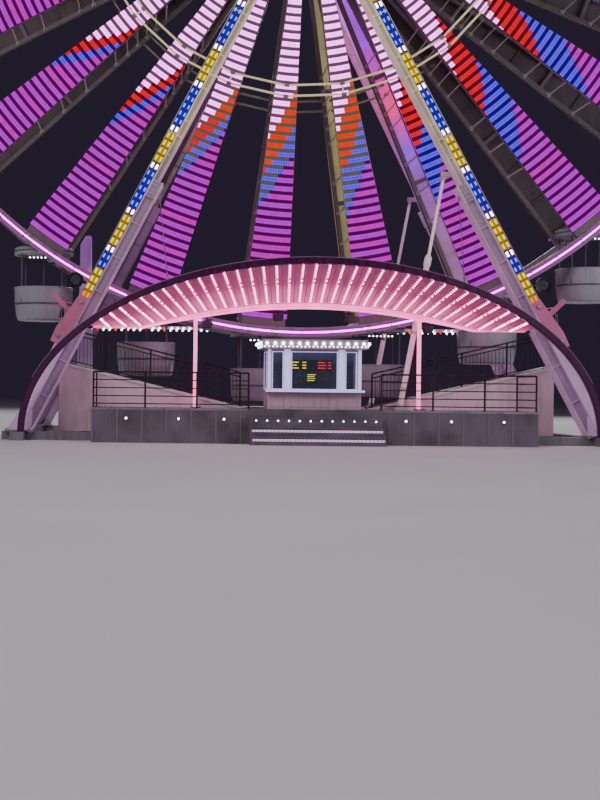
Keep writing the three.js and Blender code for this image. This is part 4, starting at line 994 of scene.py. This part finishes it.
def canopy_skin():
    """Panels between the arch and the inner beam, with a rib at each joint and folded edges. Their colour is
    painted pink lamp light that brightens towards the inner beam and glows.
    """
    shape = Shape()
    steps, cells, half = STRIPS * 2, 6, 0.025
    rows, uvs, folds = [], [], []
    for step in range(steps + 1):
        share = 2 * step / steps - 1
        front, rear = shell_edges(share)
        shares = [k / cells for k in range(cells + 1)]
        rows.append([front.lerp(rear, t) + Z * half for t in shares] +
                    [front.lerp(rear, t) - Z * half for t in reversed(shares)])
        uvs += [(share, t) for t in shares + shares[::-1]]
        folds.append((front.lerp(rear, 0.90), front.lerp(rear, 0.995)))
    shape.loft(rows, 0, uvs, caps=True)
    for strip in range(STRIPS + 1):
        front, rear = shell_edges(2 * strip / STRIPS - 1)
        low, high = front.lerp(rear, 0.01), front.lerp(rear, 0.99)
        shape.beam(low + Z * 0.035, high + Z * 0.035, 0.035, 0.03, Z, 1, 0.004)
        shape.beam(low - Z * 0.03, high - Z * 0.03, 0.02, 0.016, Z, 2, 0.003)
    for (near, far), (next_near, next_far) in zip(folds, folds[1:]):
        shape.prism([near, far, next_far, next_near], Z * -0.040, Z * 0.012, 3)
        fold = [near, near.lerp(far, 0.12), next_near.lerp(next_far, 0.12), next_near]
        shape.prism(fold, Z * -0.046, Z * 0.006, 2)
    materials = [SKIN_LAMPLIT, RAMP_PINK, RIM_PAINT, BEAM_PINK_LIT]
    shape.make("canopy_panels", materials, "canopy_panel", ["canopy_roof"])


def canopy_lights():
    """A row of bulbs and a row of small ones on a channel under each panel, two of them orange. The channels
    glow with painted light spill from the bulbs.
    """
    channels, bulbs = Shape(), Shape()
    for strip in range(STRIPS):
        share = (2 * (strip + 0.5) / STRIPS - 1) * 0.985
        front, rear = shell_edges(share)
        start, end = front.lerp(rear, 0.05), front.lerp(rear, 0.90)
        normal = (end - start).cross((shell_edges(share + 0.002)[0] - front).normalized()).normalized()
        if normal.z > 0:
            normal = -normal
        channels.beam(start + normal * 0.034, end + normal * 0.034, 0.088, 0.016, normal, 0, 0.004)
        sideways = (rear - front).cross(normal).normalized()
        for index in range(BULBS_PER_ROW):
            spot = start.lerp(end, (index + 0.5) / BULBS_PER_ROW) + normal * 0.048
            bulbs.bulb(spot - sideways * 0.012, 0.024, 1 if index in (6, 8) else 0, 8, normal)
            bulbs.bulb(spot + sideways * 0.026, 0.011, 0, 6, normal)
    channels.make("canopy_channels", [CHANNEL_SPILL], "canopy_panel")
    bulbs.make("canopy_bulbs", [LAMP_PINK, LAMP_ORANGE], "canopy_panel")


def canopy_beam():
    """The inner beam with a lower lip, two posts with plates, end brackets and four lamps. Its pink paint
    glows as painted lamp light.
    """
    shape = Shape()
    steps, middle = 64, BEAM_Y

    def run(height, lift, deep, slot=0, thick=BEAM_DEPTH):
        rows = []
        for step in range(steps + 1):
            x = -BEAM_END + 2 * BEAM_END * step / steps
            slim = 1 - END_TAPER * min(1.0, max(0.0, (abs(x) - TAPER_START) / (BEAM_END - TAPER_START)))
            crown = inner_height(x) + BEAM_TOP
            top, bottom = (crown + (lift - BEAM_TOP + dz * height / 2) * slim for dz in (1, -1))
            near, far = (middle + deep + dy * thick / 2 for dy in (-1, 1))
            rows.append([vec(x, near, bottom), vec(x, far, bottom), vec(x, far, top), vec(x, near, top)])
        shape.loft(rows, slot, caps=True)

    run(0.25, 0.04, 0.0)
    run(0.022, -0.1, -0.015, 0, BEAM_DEPTH + 0.05)
    run(0.022, 0.176, 0.0, 1, BEAM_DEPTH + 0.02)
    run(0.014, -0.035, -BEAM_DEPTH / 2 - 0.004, 1, 0.012)
    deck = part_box("platform")[1].z
    tip = BEAM_BOX[1].x - 0.01
    for across in (-1, 1):
        x = across * 3.35
        top = inner_height(x)
        for left, right, deep, low, high, slot, chamfer in (
                (0.09, 0.02, 0.055, deck + 0.001, top - 0.05, 4, 0.012),
                (0.15, 0.15, 0.13, deck + 0.001, deck + 0.025, 2, 0.004),
                (0.16, 0.16, 0.07, top - 0.135, top - 0.11, 0, 0.004)):
            shape.block((x - left, middle - deep, low), (x + right, middle + deep, high), slot, chamfer)
        for sx in (-0.115, 0.115):
            for sy in (-0.095, 0.095):
                spot = vec(x + sx, middle + sy, deck + 0.025)
                shape.lathe(spot, Z, [(0, 0.018), (0.013, 0.018), (0.015, 0)], 6, 2)
        bracket = [(BEAM_END - 0.2, 0.055), (tip, 0.055), (tip, -0.055), (BEAM_END - 0.1, -0.055)]
        shape.plate([(across * x, INNER_LOW + z) for x, z in bracket], middle - 0.055, 0.11, 2)
    tilt = (X, vec(0, 0.94, 0.34), vec(0, -0.34, 0.94))
    for x in (-3.05, -0.92, 1.20, 3.57):
        hook = vec(x, middle, inner_height(x) - 0.1)
        shape.tube([hook, hook - Z * 0.08], 0.018, 8, 2)
        shape.block(hook - vec(0.17, 0.02, 0.10), hook + vec(0.17, 0.02, -0.075), 2, 0.004)
        for sx in (-0.155, 0.155):
            shape.block(hook + vec(sx - 0.008, -0.03, -0.28), hook + vec(sx + 0.008, 0.03, -0.09), 2, 0.002)
        centre = hook - vec(0, 0.02, 0.23)
        shape.box(centre, (0.14, 0.07, 0.11), tilt, 2, 0.012)
        shape.box(centre - tilt[1] * 0.072, (0.115, 0.006, 0.085), tilt, 3, 0.003)
        for fin in range(6):
            shape.box(centre + tilt[1] * 0.085 + X * (-0.1 + fin * 0.04), (0.006, 0.02, 0.09), tilt, 2, 0.001)
    materials = [BEAM_PINK_LIT, RIM_PAINT, BLACK_PAINT, LENS_GLASS, POST_PINK]
    shape.make("canopy_inner_beam", materials, "painted_steel", ["canopy_beam"])


def canopy_stay(across):
    node = f"{SIDES[across]}_canopy_stay"
    low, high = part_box(node)
    near, far = reach((low, high))
    foot = vec(across * (near + 0.02), low.y + 0.02, low.z + 0.02)
    top = vec(across * (far - 0.02), high.y - 0.01, high.z - 0.01)
    shape = Shape()
    shape.tube([foot, top], 0.012, 8)
    along = (top - foot).normalized()
    socket = [(0, 0), (0.022, 0.0), (0.026, 0.02), (0.026, 0.2), (0.014, 0.24)]
    for place, facing in ((foot, along), (top, -along)):
        shape.lathe(place, facing, socket, 8)
    shape.make(f"{node}_rod", [STEEL], "bright_steel", [node])


# Deck, ramps and railings

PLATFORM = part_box("platform")
DECK = PLATFORM[1].z + 0.0003
RAMPS = {-1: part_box("left_ramp"), 1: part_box("right_ramp")}
RAMP_SLOPE = tan(radians(13.5))


def ramp_height(across, x):
    return DECK + (abs(x) - reach(RAMPS[across])[0]) * RAMP_SLOPE


def rail_lines(node):
    """The front and rear lines of a railing and its inner and outer ends."""
    low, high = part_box(node)
    inner, outer = reach((low, high))
    return low.y + 0.03, high.y - 0.03, inner + 0.03, outer - 0.03


def ramp_railing(across):
    """Round posts, a double top rail, a bottom rail and upright bars, round the ramp's outer end."""
    node = f"{SIDES[across]}_ramp_railing"
    front, rear, inner, outer = rail_lines(node)
    shape = Shape()
    bays, bars, end_bars = 4, 48, 8

    def spot(x, y, lift):
        return vec(across * x, y, ramp_height(across, x) + lift)

    for lift, radius in ((1.03, 0.024), (0.90, 0.018), (0.10, 0.018)):
        corners = ((inner, front), (outer, front), (outer, rear))
        shape.tube([spot(x, y, lift) for x, y in corners], radius, 10)
    for bay in range(bays + 1):
        x = inner + (outer - inner) * bay / bays
        shape.tube([spot(x, front, 0.002), spot(x, front, 1.03)], 0.026, 10)
        half = vec(0.06, 0.03, 0)
        shape.block(spot(x, front, -0.004) - half, spot(x, front, 0.012) + half, 0, 0.003)
    shape.tube([spot(outer, rear, 0.002), spot(outer, rear, 1.03)], 0.026, 10)
    places = [(inner + (outer - inner) * bar / bars, front) for bar in range(1, bars)]
    places += [(outer, front + (rear - front) * bar / end_bars) for bar in range(1, end_bars)]
    for x, y in places:
        shape.tube([spot(x, y, 0.1), spot(x, y, 0.9)], 0.008, 6)
    shape.make(f"{node}_bars", [BLACK_PAINT], "black_rail", [node])


def deck_railing(across):
    node = f"{SIDES[across]}_deck_railing"
    front, rear, inner, outer = rail_lines(node)
    shape = Shape()
    for lift, radius in ((1.025, 0.026), (0.80, 0.016), (0.57, 0.016), (0.34, 0.016), (0.12, 0.016)):
        corners = ((inner, front), (outer, front), (outer, rear))
        shape.tube([vec(across * x, y, DECK + lift) for x, y in corners], radius, 10)
    bays = 3
    posts = [(inner + (outer - inner) * bay / bays, front) for bay in range(bays + 1)]
    for x, y in posts + [(outer, rear)]:
        foot = vec(across * x, y, DECK)
        shape.tube([foot, foot + Z * 1.025], 0.028, 10)
        shape.lathe(foot, Z, [(0, 0.014), (0.065, 0.014), (0.07, 0.008), (0.07, 0)], 16)
    shape.make(f"{node}_rails", [BLACK_PAINT], "black_rail", [node])


def ramp_trim(across):
    """Deck boards, a kerb and skirt ribs on a ramp."""
    low, high = RAMPS[across]
    inner, end = reach((low, high))
    start = inner + 0.1
    shape = Shape()
    boards, ribs = 22, 7
    slope = atan(RAMP_SLOPE)
    along = vec(across * cos(slope), 0, sin(slope))
    up = vec(-across * sin(slope), 0, cos(slope))
    for board in range(boards):
        x = start + (end - start) * (board + 0.5) / boards
        centre = vec(across * x, (low.y + high.y) / 2, ramp_height(across, x)) + up * 0.008
        half = ((end - start) / boards / 2 / cos(slope) - 0.006, (high.y - low.y) / 2 - 0.09, 0.008)
        shape.box(centre, half, (along, Y, up), 0, 0.003)
    for rib in range(1, ribs + 1):
        x = start + (end - start) * rib / ribs - 0.03
        foot = vec(across * x, low.y, (DECK if x < PLATFORM[1].x else BASE_TOP) + 0.002)
        head = vec(across * x, low.y, ramp_height(across, x) - 0.03)
        shape.block(foot - vec(0.02, 0.012, 0), head + vec(0.02, 0.002, 0), 1, 0.003)
    kerb = [vec(across * x, low.y - 0.014, ramp_height(across, x) - 0.05) for x in (start, end)]
    shape.beam(kerb[0], kerb[1], 0.03, 0.09, Z, 2, 0.004)
    shape.make(f"{SIDES[across]}_ramp_boards", [DECK_PLATE, RAMP_PINK, WHITE_PAINT], "ramp_panel")


def deck_trim():
    """Skirt ribs, an edge angle and small lamps on the deck's front."""
    low, high = PLATFORM
    steps_low, steps_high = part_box("front_steps")
    shape = Shape()
    for left, right in ((low.x, steps_low.x), (steps_high.x, high.x)):
        shape.block((left, low.y - 0.012, high.z - 0.06), (right, low.y + 0.001, high.z + 0.004), 0, 0.003)
    ribs = 18
    for rib in range(ribs + 1):
        x = low.x + 0.03 + (high.x - low.x - 0.06) * rib / ribs
        if not steps_low.x - 0.05 < x < steps_high.x + 0.05:
            shape.block((x - 0.02, low.y - 0.014, 0.01), (x + 0.02, low.y + 0.001, high.z - 0.06), 1, 0.003)
        shape.block((x - 0.02, high.y - 0.001, 0.01), (x + 0.02, high.y + 0.014, high.z - 0.06), 1, 0.003)
    for x in (-5.4, -3.9, -2.6, 2.6, 3.9, 5.4):
        spot = vec(x, low.y - 0.001, 0.7)
        case = [(0.055, 0), (0.055, 0.02), (0.045, 0.024), (0.038, 0.018), (0, 0.018)]
        shape.lathe(spot, -Y, case, 18, 2)
        shape.lathe(spot, -Y, [(0.036, 0.016), (0.02, 0.026), (0, 0.03)], 14, 3)
    shape.make("deck_front_trim", [STEEL, GREY_PAINT, BLACK_PAINT, LAMP_WHITE], "deck_plate")


def front_steps():
    """Three treads with nosings and recessed risers: two strips of light and a row of small lamps."""
    low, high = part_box("front_steps")
    shape = Shape()
    count, recess, lamps = 3, 0.018, 12
    tread, rise = (high.y - low.y) / count, high.z / count
    outline = [(low.y + recess, 0.001)]
    for step in range(count):
        y, z = low.y + step * tread, (step + 1) * rise
        last = step == count - 1
        end = high.y if last else y + tread + recess
        outline += [(y + recess, z - 0.04), (y, z - 0.04), (y, z), (end, z)]
        if not last:
            shape.block((low.x + 0.06, y + recess - 0.008, z - 0.13),
                        (high.x - 0.06, y + recess + 0.002, z - 0.075), 1, 0.002)
        for lamp in range(lamps if last else 0):
            spot = vec(low.x + 0.2 + lamp * (high.x - low.x - 0.4) / (lamps - 1), y + recess, z - 0.07)
            shape.lathe(spot, -Y, [(0.03, 0), (0.03, 0.006), (0.024, 0.008)], 12, 2)
            shape.lathe(spot, -Y, [(0.024, 0.004), (0.015, 0.012), (0, 0.015)], 12, 3)
        shape.block((low.x + 0.01, y + 0.004, z - 0.002), (high.x - 0.01, y + 0.06, z + 0.003), 2, 0.001)
    outline.append((high.y, 0.001))
    shape.prism([vec(0, y, z) for y, z in outline], X * low.x, X * (high.x - low.x))
    shape.make("step_treads", [DECK_PLATE, RISER_LIGHT, STEEL, LAMP_COOL], "deck_plate", ["front_steps"])


# Kiosk

KIOSK_WALL_X, KIOSK_FRONT, KIOSK_REAR = 1.35, -4.6, -3.25
KIOSK_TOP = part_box("kiosk_body")[1].z
WINDOW_LOW, WINDOW_HIGH = 1.57, 2.67


def kiosk_trim():
    """Frames and glass in the windows, a panelled front, the shelf's edge and the inside, whose surfaces
    carry painted shade low down and painted lamp light near the ceiling.
    """
    shape = Shape()
    block = shape.block
    face, bar = KIOSK_FRONT, 0.012
    bar_heights = (WINDOW_LOW + bar, WINDOW_HIGH - bar)
    for left, right in ((-1.22, -0.89), (-0.67, 0.67), (0.89, 1.22)):
        for x in (left + bar, right - bar):
            block((x - bar, face - 0.012, WINDOW_LOW), (x + bar, face + 0.05, WINDOW_HIGH), 0, 0.004)
        for z in bar_heights:
            block((left, face - 0.012, z - bar), (right, face + 0.05, z + bar), 0, 0.004)
        block((left + 0.02, face + 0.018, WINDOW_LOW + 0.02),
              (right - 0.02, face + 0.024, WINDOW_HIGH - 0.02), 1)
    for across in (-1, 1):
        near, far = sorted((across * KIOSK_WALL_X, across * (KIOSK_WALL_X + 0.012)))
        for y in (-4.34, -3.51):
            block((near, y - bar, WINDOW_LOW), (far, y + bar, WINDOW_HIGH), 0, 0.003)
        for z in bar_heights:
            block((near, -4.36, z - bar), (far, -3.49, z + bar), 0, 0.003)
        glass = across * (KIOSK_WALL_X - 0.03)
        block((glass - 0.003, -4.35, WINDOW_LOW + 0.01), (glass + 0.003, -3.5, WINDOW_HIGH - 0.01), 1)
        near, far = sorted((across * 1.278, across * 1.286))
        block((near, -3.49, 1.06), (far, -3.34, 2.71), 8)
    for x in (-1.35, -0.78, 0.78, 1.35):
        near, far = max(-1.35, x - 0.095), min(1.35, x + 0.095)
        block((near, face - 0.025, 1.57), (far, face + 0.001, KIOSK_TOP - 0.002), 0, 0.006)
        block((near, face - 0.02, DECK + 0.001), (far, face + 0.001, 1.49), 2, 0.006)
    for panel in range(6):
        left = -1.28 + panel * 0.43
        block((left, face - 0.01, DECK + 0.06), (left + 0.40, face + 0.001, 1.45), 2, 0.006)
    for low, high, slot, chamfer in (
            ((-1.42, face - 0.25, 1.50), (1.42, face - 0.235, 1.566), 0, 0.004),
            ((-1.28, -3.335, 1.06), (1.28, -3.322, 2.71), 8, 0.003),
            ((-1.285, -4.53, 1.055), (1.285, -3.34, 1.064), 8, 0),
            ((-0.68, -3.40, 2.13), (0.68, -3.365, 2.45), 3, 0.006),
            ((-0.11, -3.40, 1.78), (0.22, -3.365, 2.06), 3, 0.006),
            ((-1.2, -4.52, 1.3), (1.2, -4.1, 1.34), 2, 0.004),
            ((-0.35, -4.35, 1.34), (-0.05, -4.30, 1.60), 3, 0.006),
            ((0.2, -4.35, 1.34), (0.42, -4.2, 1.44), 3, 0.006)):
        block(low, high, slot, chamfer)
    for row in range(3):
        z = 2.37 - row * 0.085
        for left, width, slot in ((-0.57, 0.24 - 0.05 * (row % 2), 4), (-0.22, 0.12, 4),
                                  (0.24, 0.22 + 0.03 * (row % 2), 6), (0.54, 0.10, 6)):
            block((left, -3.408, z), (left + width, -3.398, z + 0.028), slot)
    for row in range(4):
        z = 2.01 - row * 0.058
        block((-0.07, -3.408, z), (0.18 - 0.04 * (row % 2), -3.398, z + 0.022), (4, 4, 5, 4)[row])
    for x in (-0.9, -0.3, 0.3, 0.9):
        shape.lathe(vec(x, -4.0, 2.715), -Z, [(0.06, 0), (0.06, 0.01), (0.045, 0.014), (0, 0.018)], 14, 7)
    materials = [KIOSK_FRAME, GLASS, KIOSK_PANEL, PANEL_BLACK, LAMP_YELLOW, LAMP_GREEN, LAMP_RED,
                 INTERIOR_LIGHT, KIOSK_INSIDE_LIT_SHADED]
    shape.make("kiosk_fittings", materials, "painted_steel")


def kiosk_roof_trim():
    """A fascia with a row of globes round its top edge and a row of small bulbs below."""
    low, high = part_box("kiosk_roof")
    shape, bulbs = Shape(), Shape()
    for out, bottom, top, chamfer in ((0.012, high.z - 0.05, high.z + 0.012, 0.006),
                                      (0.008, low.z + 0.004, low.z + 0.04, 0.004)):
        shape.block((low.x - out, low.y - out, bottom), (high.x + out, high.y + out, top), 0, chamfer)
    for (x0, y0), (x1, y1), out, count in (
            ((low.x, low.y), (high.x, low.y), -Y, 13), ((low.x, low.y), (low.x, high.y), -X, 7),
            ((high.x, low.y), (high.x, high.y), X, 7), ((low.x, high.y), (high.x, high.y), Y, 14)):
        start, end = vec(x0, y0, 0), vec(x1, y1, 0)
        for index in range(count):
            globe = start.lerp(end, (index + 0.5) / count) + Z * (high.z - 0.105) + out * 0.055
            bulbs.bulb(globe, 0.052, 0, 12)
            holder = [(0, 0.0), (0.03, 0.0), (0.036, 0.03), (0.036, 0.045)]
            bulbs.lathe(globe - out * 0.02, -out, holder, 12, 1)
        for index in range(2 * count):
            spot = start.lerp(end, (index + 0.5) / (2 * count)) + Z * (low.z + 0.075)
            bulbs.bulb(spot + out * 0.016, 0.02, 0, 8)
    shape.make("kiosk_roof_trim", [RIM_PAINT], "painted_steel")
    bulbs.make("kiosk_globes", [GLOBE_WHITE, STEEL], "painted_steel")


def kiosk_door_trim():
    """Two raised panels and a handle on the rear door."""
    shape = Shape()
    face = KIOSK_REAR
    for low, high in ((1.18, 1.72), (1.80, 2.52)):
        shape.block((-0.33, face - 0.004, low), (0.31, face + 0.01, high), 0, 0.006)
    handle = ((0, 1.86), (0.05, 1.86), (0.05, 2.06), (0, 2.06))
    shape.tube([vec(-0.35, face + out, z) for out, z in handle], 0.01, 8, 1)
    shape.make("kiosk_door_panel", [KIOSK_PANEL, STEEL], "painted_steel", body="door")


# Lamps behind the wheel, mast and lamp arms


def festoon():
    """A row of slanted lamps, each capped at both ends, on clips under a thin rail."""
    low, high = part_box("festoon_beam")
    shape = Shape()
    count = 66
    for index in range(count):
        x = low.x + 0.15 + (high.x - low.x - 0.3) * index / (count - 1)
        spot = vec(x, low.y - 0.03, low.z)
        lean = vec(copysign(0.035, -x), 0, 0.065)
        shape.tube([spot - lean, spot + lean], 0.028, 10, (0, 1, 0, 0, 2, 0, 3, 0)[index % 8])
        for tip in (-1, 1):
            shape.tube([spot + lean * tip, spot + lean * tip * 1.15], 0.030, 10, 4)
        shape.lathe(spot + Y * 0.012 + Z * 0.03, Y, [(0, 0), (0.020, 0), (0.022, 0.025)], 8, 4)
    shape.tube([vec(x, low.y + 0.05, low.z - 0.012) for x in (low.x + 0.05, high.x - 0.05)], 0.012, 6, 4)
    materials = [LAMP_WHITE, LAMP_RED, LAMP_ORANGE, LAMP_PINK, BLACK_PAINT]
    shape.make("festoon_bulbs", materials, "painted_steel")


MAST_TOP_RATIO = 0.36 / 0.56


def mast():
    """A tapered square mast with bands, a hatch, a foot plate and a small fitting on top."""
    low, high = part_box("service_mast")
    centre = (low + high) / 2
    centre.z = low.z
    foot = (high.x - low.x) / 2
    shape = Shape()
    corners = [vec(-1, -1, 0), vec(1, -1, 0), vec(1, 1, 0), vec(-1, 1, 0)]
    cut = 0.12

    def width(z):
        return foot + (MAST_TOP_RATIO - 1) * foot * (z - low.z) / (high.z - low.z)

    rows = []
    for z, lean in ((low.z, 1.0), (high.z - 0.05, 1.0), (high.z - 0.01, 0.9)):
        size = width(z) * lean
        rows.append([vec(centre.x, centre.y, z) + start.lerp(end, weight) * size
                     for start, end in zip(corners, corners[1:] + corners[:1])
                     for weight in (cut / 2, 1 - cut / 2)])
    shape.loft(rows, caps=True)
    for z in (2.2, 3.8, 5.4):
        size = width(z) * sqrt(2)
        band = [(size - 0.03, 0), (size + 0.004, 0.01), (size + 0.004, 0.03), (size - 0.03, 0.04)]
        shape.lathe(vec(centre.x, centre.y, z), Z, band, 4, 0, True, pi / 4)
    half = foot + 0.05
    shape.block(centre - vec(half, half, 0), centre + vec(half, half, 0.03), 1, 0.004)
    face = centre.y - width(1.45)
    shape.block((centre.x - 0.1, face - 0.014, 1.2), (centre.x + 0.1, face + 0.03, 1.7), 1, 0.006)
    head = vec(centre.x, centre.y, high.z - 0.01)
    shape.tube([head, head + Z * 0.25], 0.012, 8, 1)
    shape.tube([head + Z * 0.22 - X * 0.09, head + Z * 0.22 + X * 0.09], 0.008, 8, 1)
    for sx in (-0.09, 0.09):
        shape.bulb(head + Z * 0.25 + X * sx, 0.024, 1, 10)
    shape.make("service_mast_box", [MAST_PAINT, GREY_PAINT], "painted_steel", ["service_mast"])


def lamp_arm(across):
    """A lamp on an arm and a round floodlight, both on the outer side of a front leg."""
    outward = leg_axes(across, -1)[0]
    shape = Shape()

    def off(x, y, z):
        return vec(across * x, y, z)

    base = leg_point(across, -1, 3.72) + outward * (PANEL_HALF - 0.02)
    shape.beam(base, base + off(0.56, -0.02, 0.56), 0.15, 0.07, Y, 0, 0.01)
    shape.beam(base + Z * 0.3, base + off(0.3, -0.02, 0.34), 0.04, 0.04, Y, 0, 0.006)
    hook = base + off(0.30, -0.03, 0.24)
    shape.tube([hook, hook - Z * 0.16], 0.012, 8, 1)
    bell = [(0, 0), (0.04, -0.01), (0.055, -0.05), (0.06, -0.14), (0.085, -0.26), (0.09, -0.29),
            (0.078, -0.29), (0.05, -0.16), (0, -0.16)]
    shape.lathe(hook - Z * 0.08, Z, bell, 20, 1)
    centre = leg_point(across, -1, 4.78) + off(0.56, -0.06, 0.0)
    stem = leg_point(across, -1, 4.62) + outward * (PANEL_HALF - 0.02)
    shape.beam(stem, centre + off(-0.12, 0.07, -0.05), 0.05, 0.05, Y, 1, 0.006)
    lamp = [(0, 0.13), (0.09, 0.12), (0.15, 0.06), (0.21, -0.02), (0.235, -0.05), (0.235, -0.08),
            (0.2, -0.075), (0, -0.06)]
    shape.lathe(centre, Y, lamp, 24, 1)
    shape.lathe(centre - Y * 0.062, Y, [(0.2, 0), (0.12, -0.012), (0, -0.018)], 24, 2)
    for fin in range(8):
        angle = tau * fin / 8
        out = vec(cos(angle), 0, sin(angle))
        shape.box(centre + out * 0.11 + Y * 0.07, (0.09, 0.05, 0.005), (out, Y, out.cross(Y)), 1, 0.001)
    shape.make(f"{SIDES[across]}_lamp_arm", [PLATE_PINK, BLACK_PAINT, LENS_GLASS], "painted_steel")


# Kept CAD nodes, floor, light and camera

NODE_LOOKS = {
    "base_frame": GREY_PAINT, "front_left_spokes": SPOKE_PAINT, "front_right_spokes": SPOKE_PAINT,
    "rear_left_spokes": SPOKE_PAINT, "rear_right_spokes": SPOKE_PAINT, "platform": DECK_PLATE,
    "left_ramp": RAMP_PINK, "right_ramp": RAMP_PINK, "kiosk_body": KIOSK_PANEL, "kiosk_roof": RIM_PAINT,
    "kiosk_door": WHITE_PAINT, "festoon_beam": WHITE_PAINT,
}
FLOOR_HALF = 160.0
EYE = vec(-4.6, -43.14, 1.49)
FOCAL_PIXELS = 1340.0
IMAGE_WIDTH, IMAGE_HEIGHT = 600, 800
VANISH_X, VANISH_Y = 154.3, 390.8
ROLL = radians(0.65)
SENSOR = 36.0


def dress_nodes():
    for node, material in NODE_LOOKS.items():
        slots = frame["nodes"][node].data.materials
        slots.clear()
        slots.append(material)


def floor():
    look = Look("floor")
    look.cover(look.ramp(look.noise(0.15, 3.0), (0.3, (0.70, 0.69, 0.70)), (0.7, (0.76, 0.75, 0.76))), 0.8)
    mesh = bpy.data.meshes.new("floor")
    corners = [(x * FLOOR_HALF, y * FLOOR_HALF, 0) for x, y in ((-1, -1), (1, -1), (1, 1), (-1, 1))]
    mesh.from_pydata(corners, [], [(0, 1, 2, 3)])
    mesh.materials.append(look.material)
    add_object("floor", mesh)


def area_light(name, place, target, size, power, colour):
    data = bpy.data.lights.new(name, "AREA")
    data.size, data.energy, data.color = size, power, colour
    lamp = add_object(name, data)
    lamp.location = place
    lamp.rotation_mode = "QUATERNION"
    lamp.rotation_quaternion = (Vector(target) - Vector(place)).to_track_quat("-Z", "Y")


def studio():
    world = bpy.data.worlds.new("studio")
    world.use_nodes = True
    background = world.node_tree.nodes["Background"]
    background.inputs["Color"].default_value = (0.020, 0.015, 0.030, 1.0)
    background.inputs["Strength"].default_value = 1.0
    bpy.context.scene.world = world
    area_light("key", (-34, -48, 40), (0, 0, 12), 30, 19000, (1.0, 0.96, 0.98))
    area_light("fill", (40, -36, 22), (0, 0, 10), 28, 10000, (0.94, 0.94, 1.0))
    area_light("back", (10, 44, 34), (0, 0, 14), 30, 14000, (1.0, 1.0, 1.0))


def camera():
    data = bpy.data.cameras.new("camera")
    data.sensor_width = SENSOR
    data.lens = FOCAL_PIXELS / IMAGE_HEIGHT * SENSOR
    data.shift_x = (IMAGE_WIDTH / 2 - VANISH_X) / IMAGE_HEIGHT
    data.shift_y = (VANISH_Y - IMAGE_HEIGHT / 2) / IMAGE_HEIGHT
    data.clip_end = 1000
    eye = add_object("camera", data)
    turned = Matrix.Rotation(pi / 2, 4, "X") @ Matrix.Rotation(ROLL, 4, "Z")
    eye.matrix_world = Matrix.Translation(EYE) @ turned
    bpy.context.scene.camera = eye


camera()
studio()
floor()
dress_nodes()
for plane_side in PLANES:
    for build in (light_bars, band_sheets, rim, inner_rings, bearing_head):
        build(plane_side)
    for leg_side in SIDES:
        leg(leg_side, plane_side)
hub()
wheel_ties()
for number in range(SPOKES):
    gondola(number)
for side in PLANES:
    strut(side)
for build in (canopy_arch, canopy_skin, canopy_lights, canopy_beam):
    build()
for side in SIDES:
    for build in (canopy_stay, ramp_railing, deck_railing, ramp_trim, lamp_arm):
        build(side)
for build in (deck_trim, front_steps, kiosk_trim, kiosk_roof_trim, kiosk_door_trim, festoon, mast):
    build()
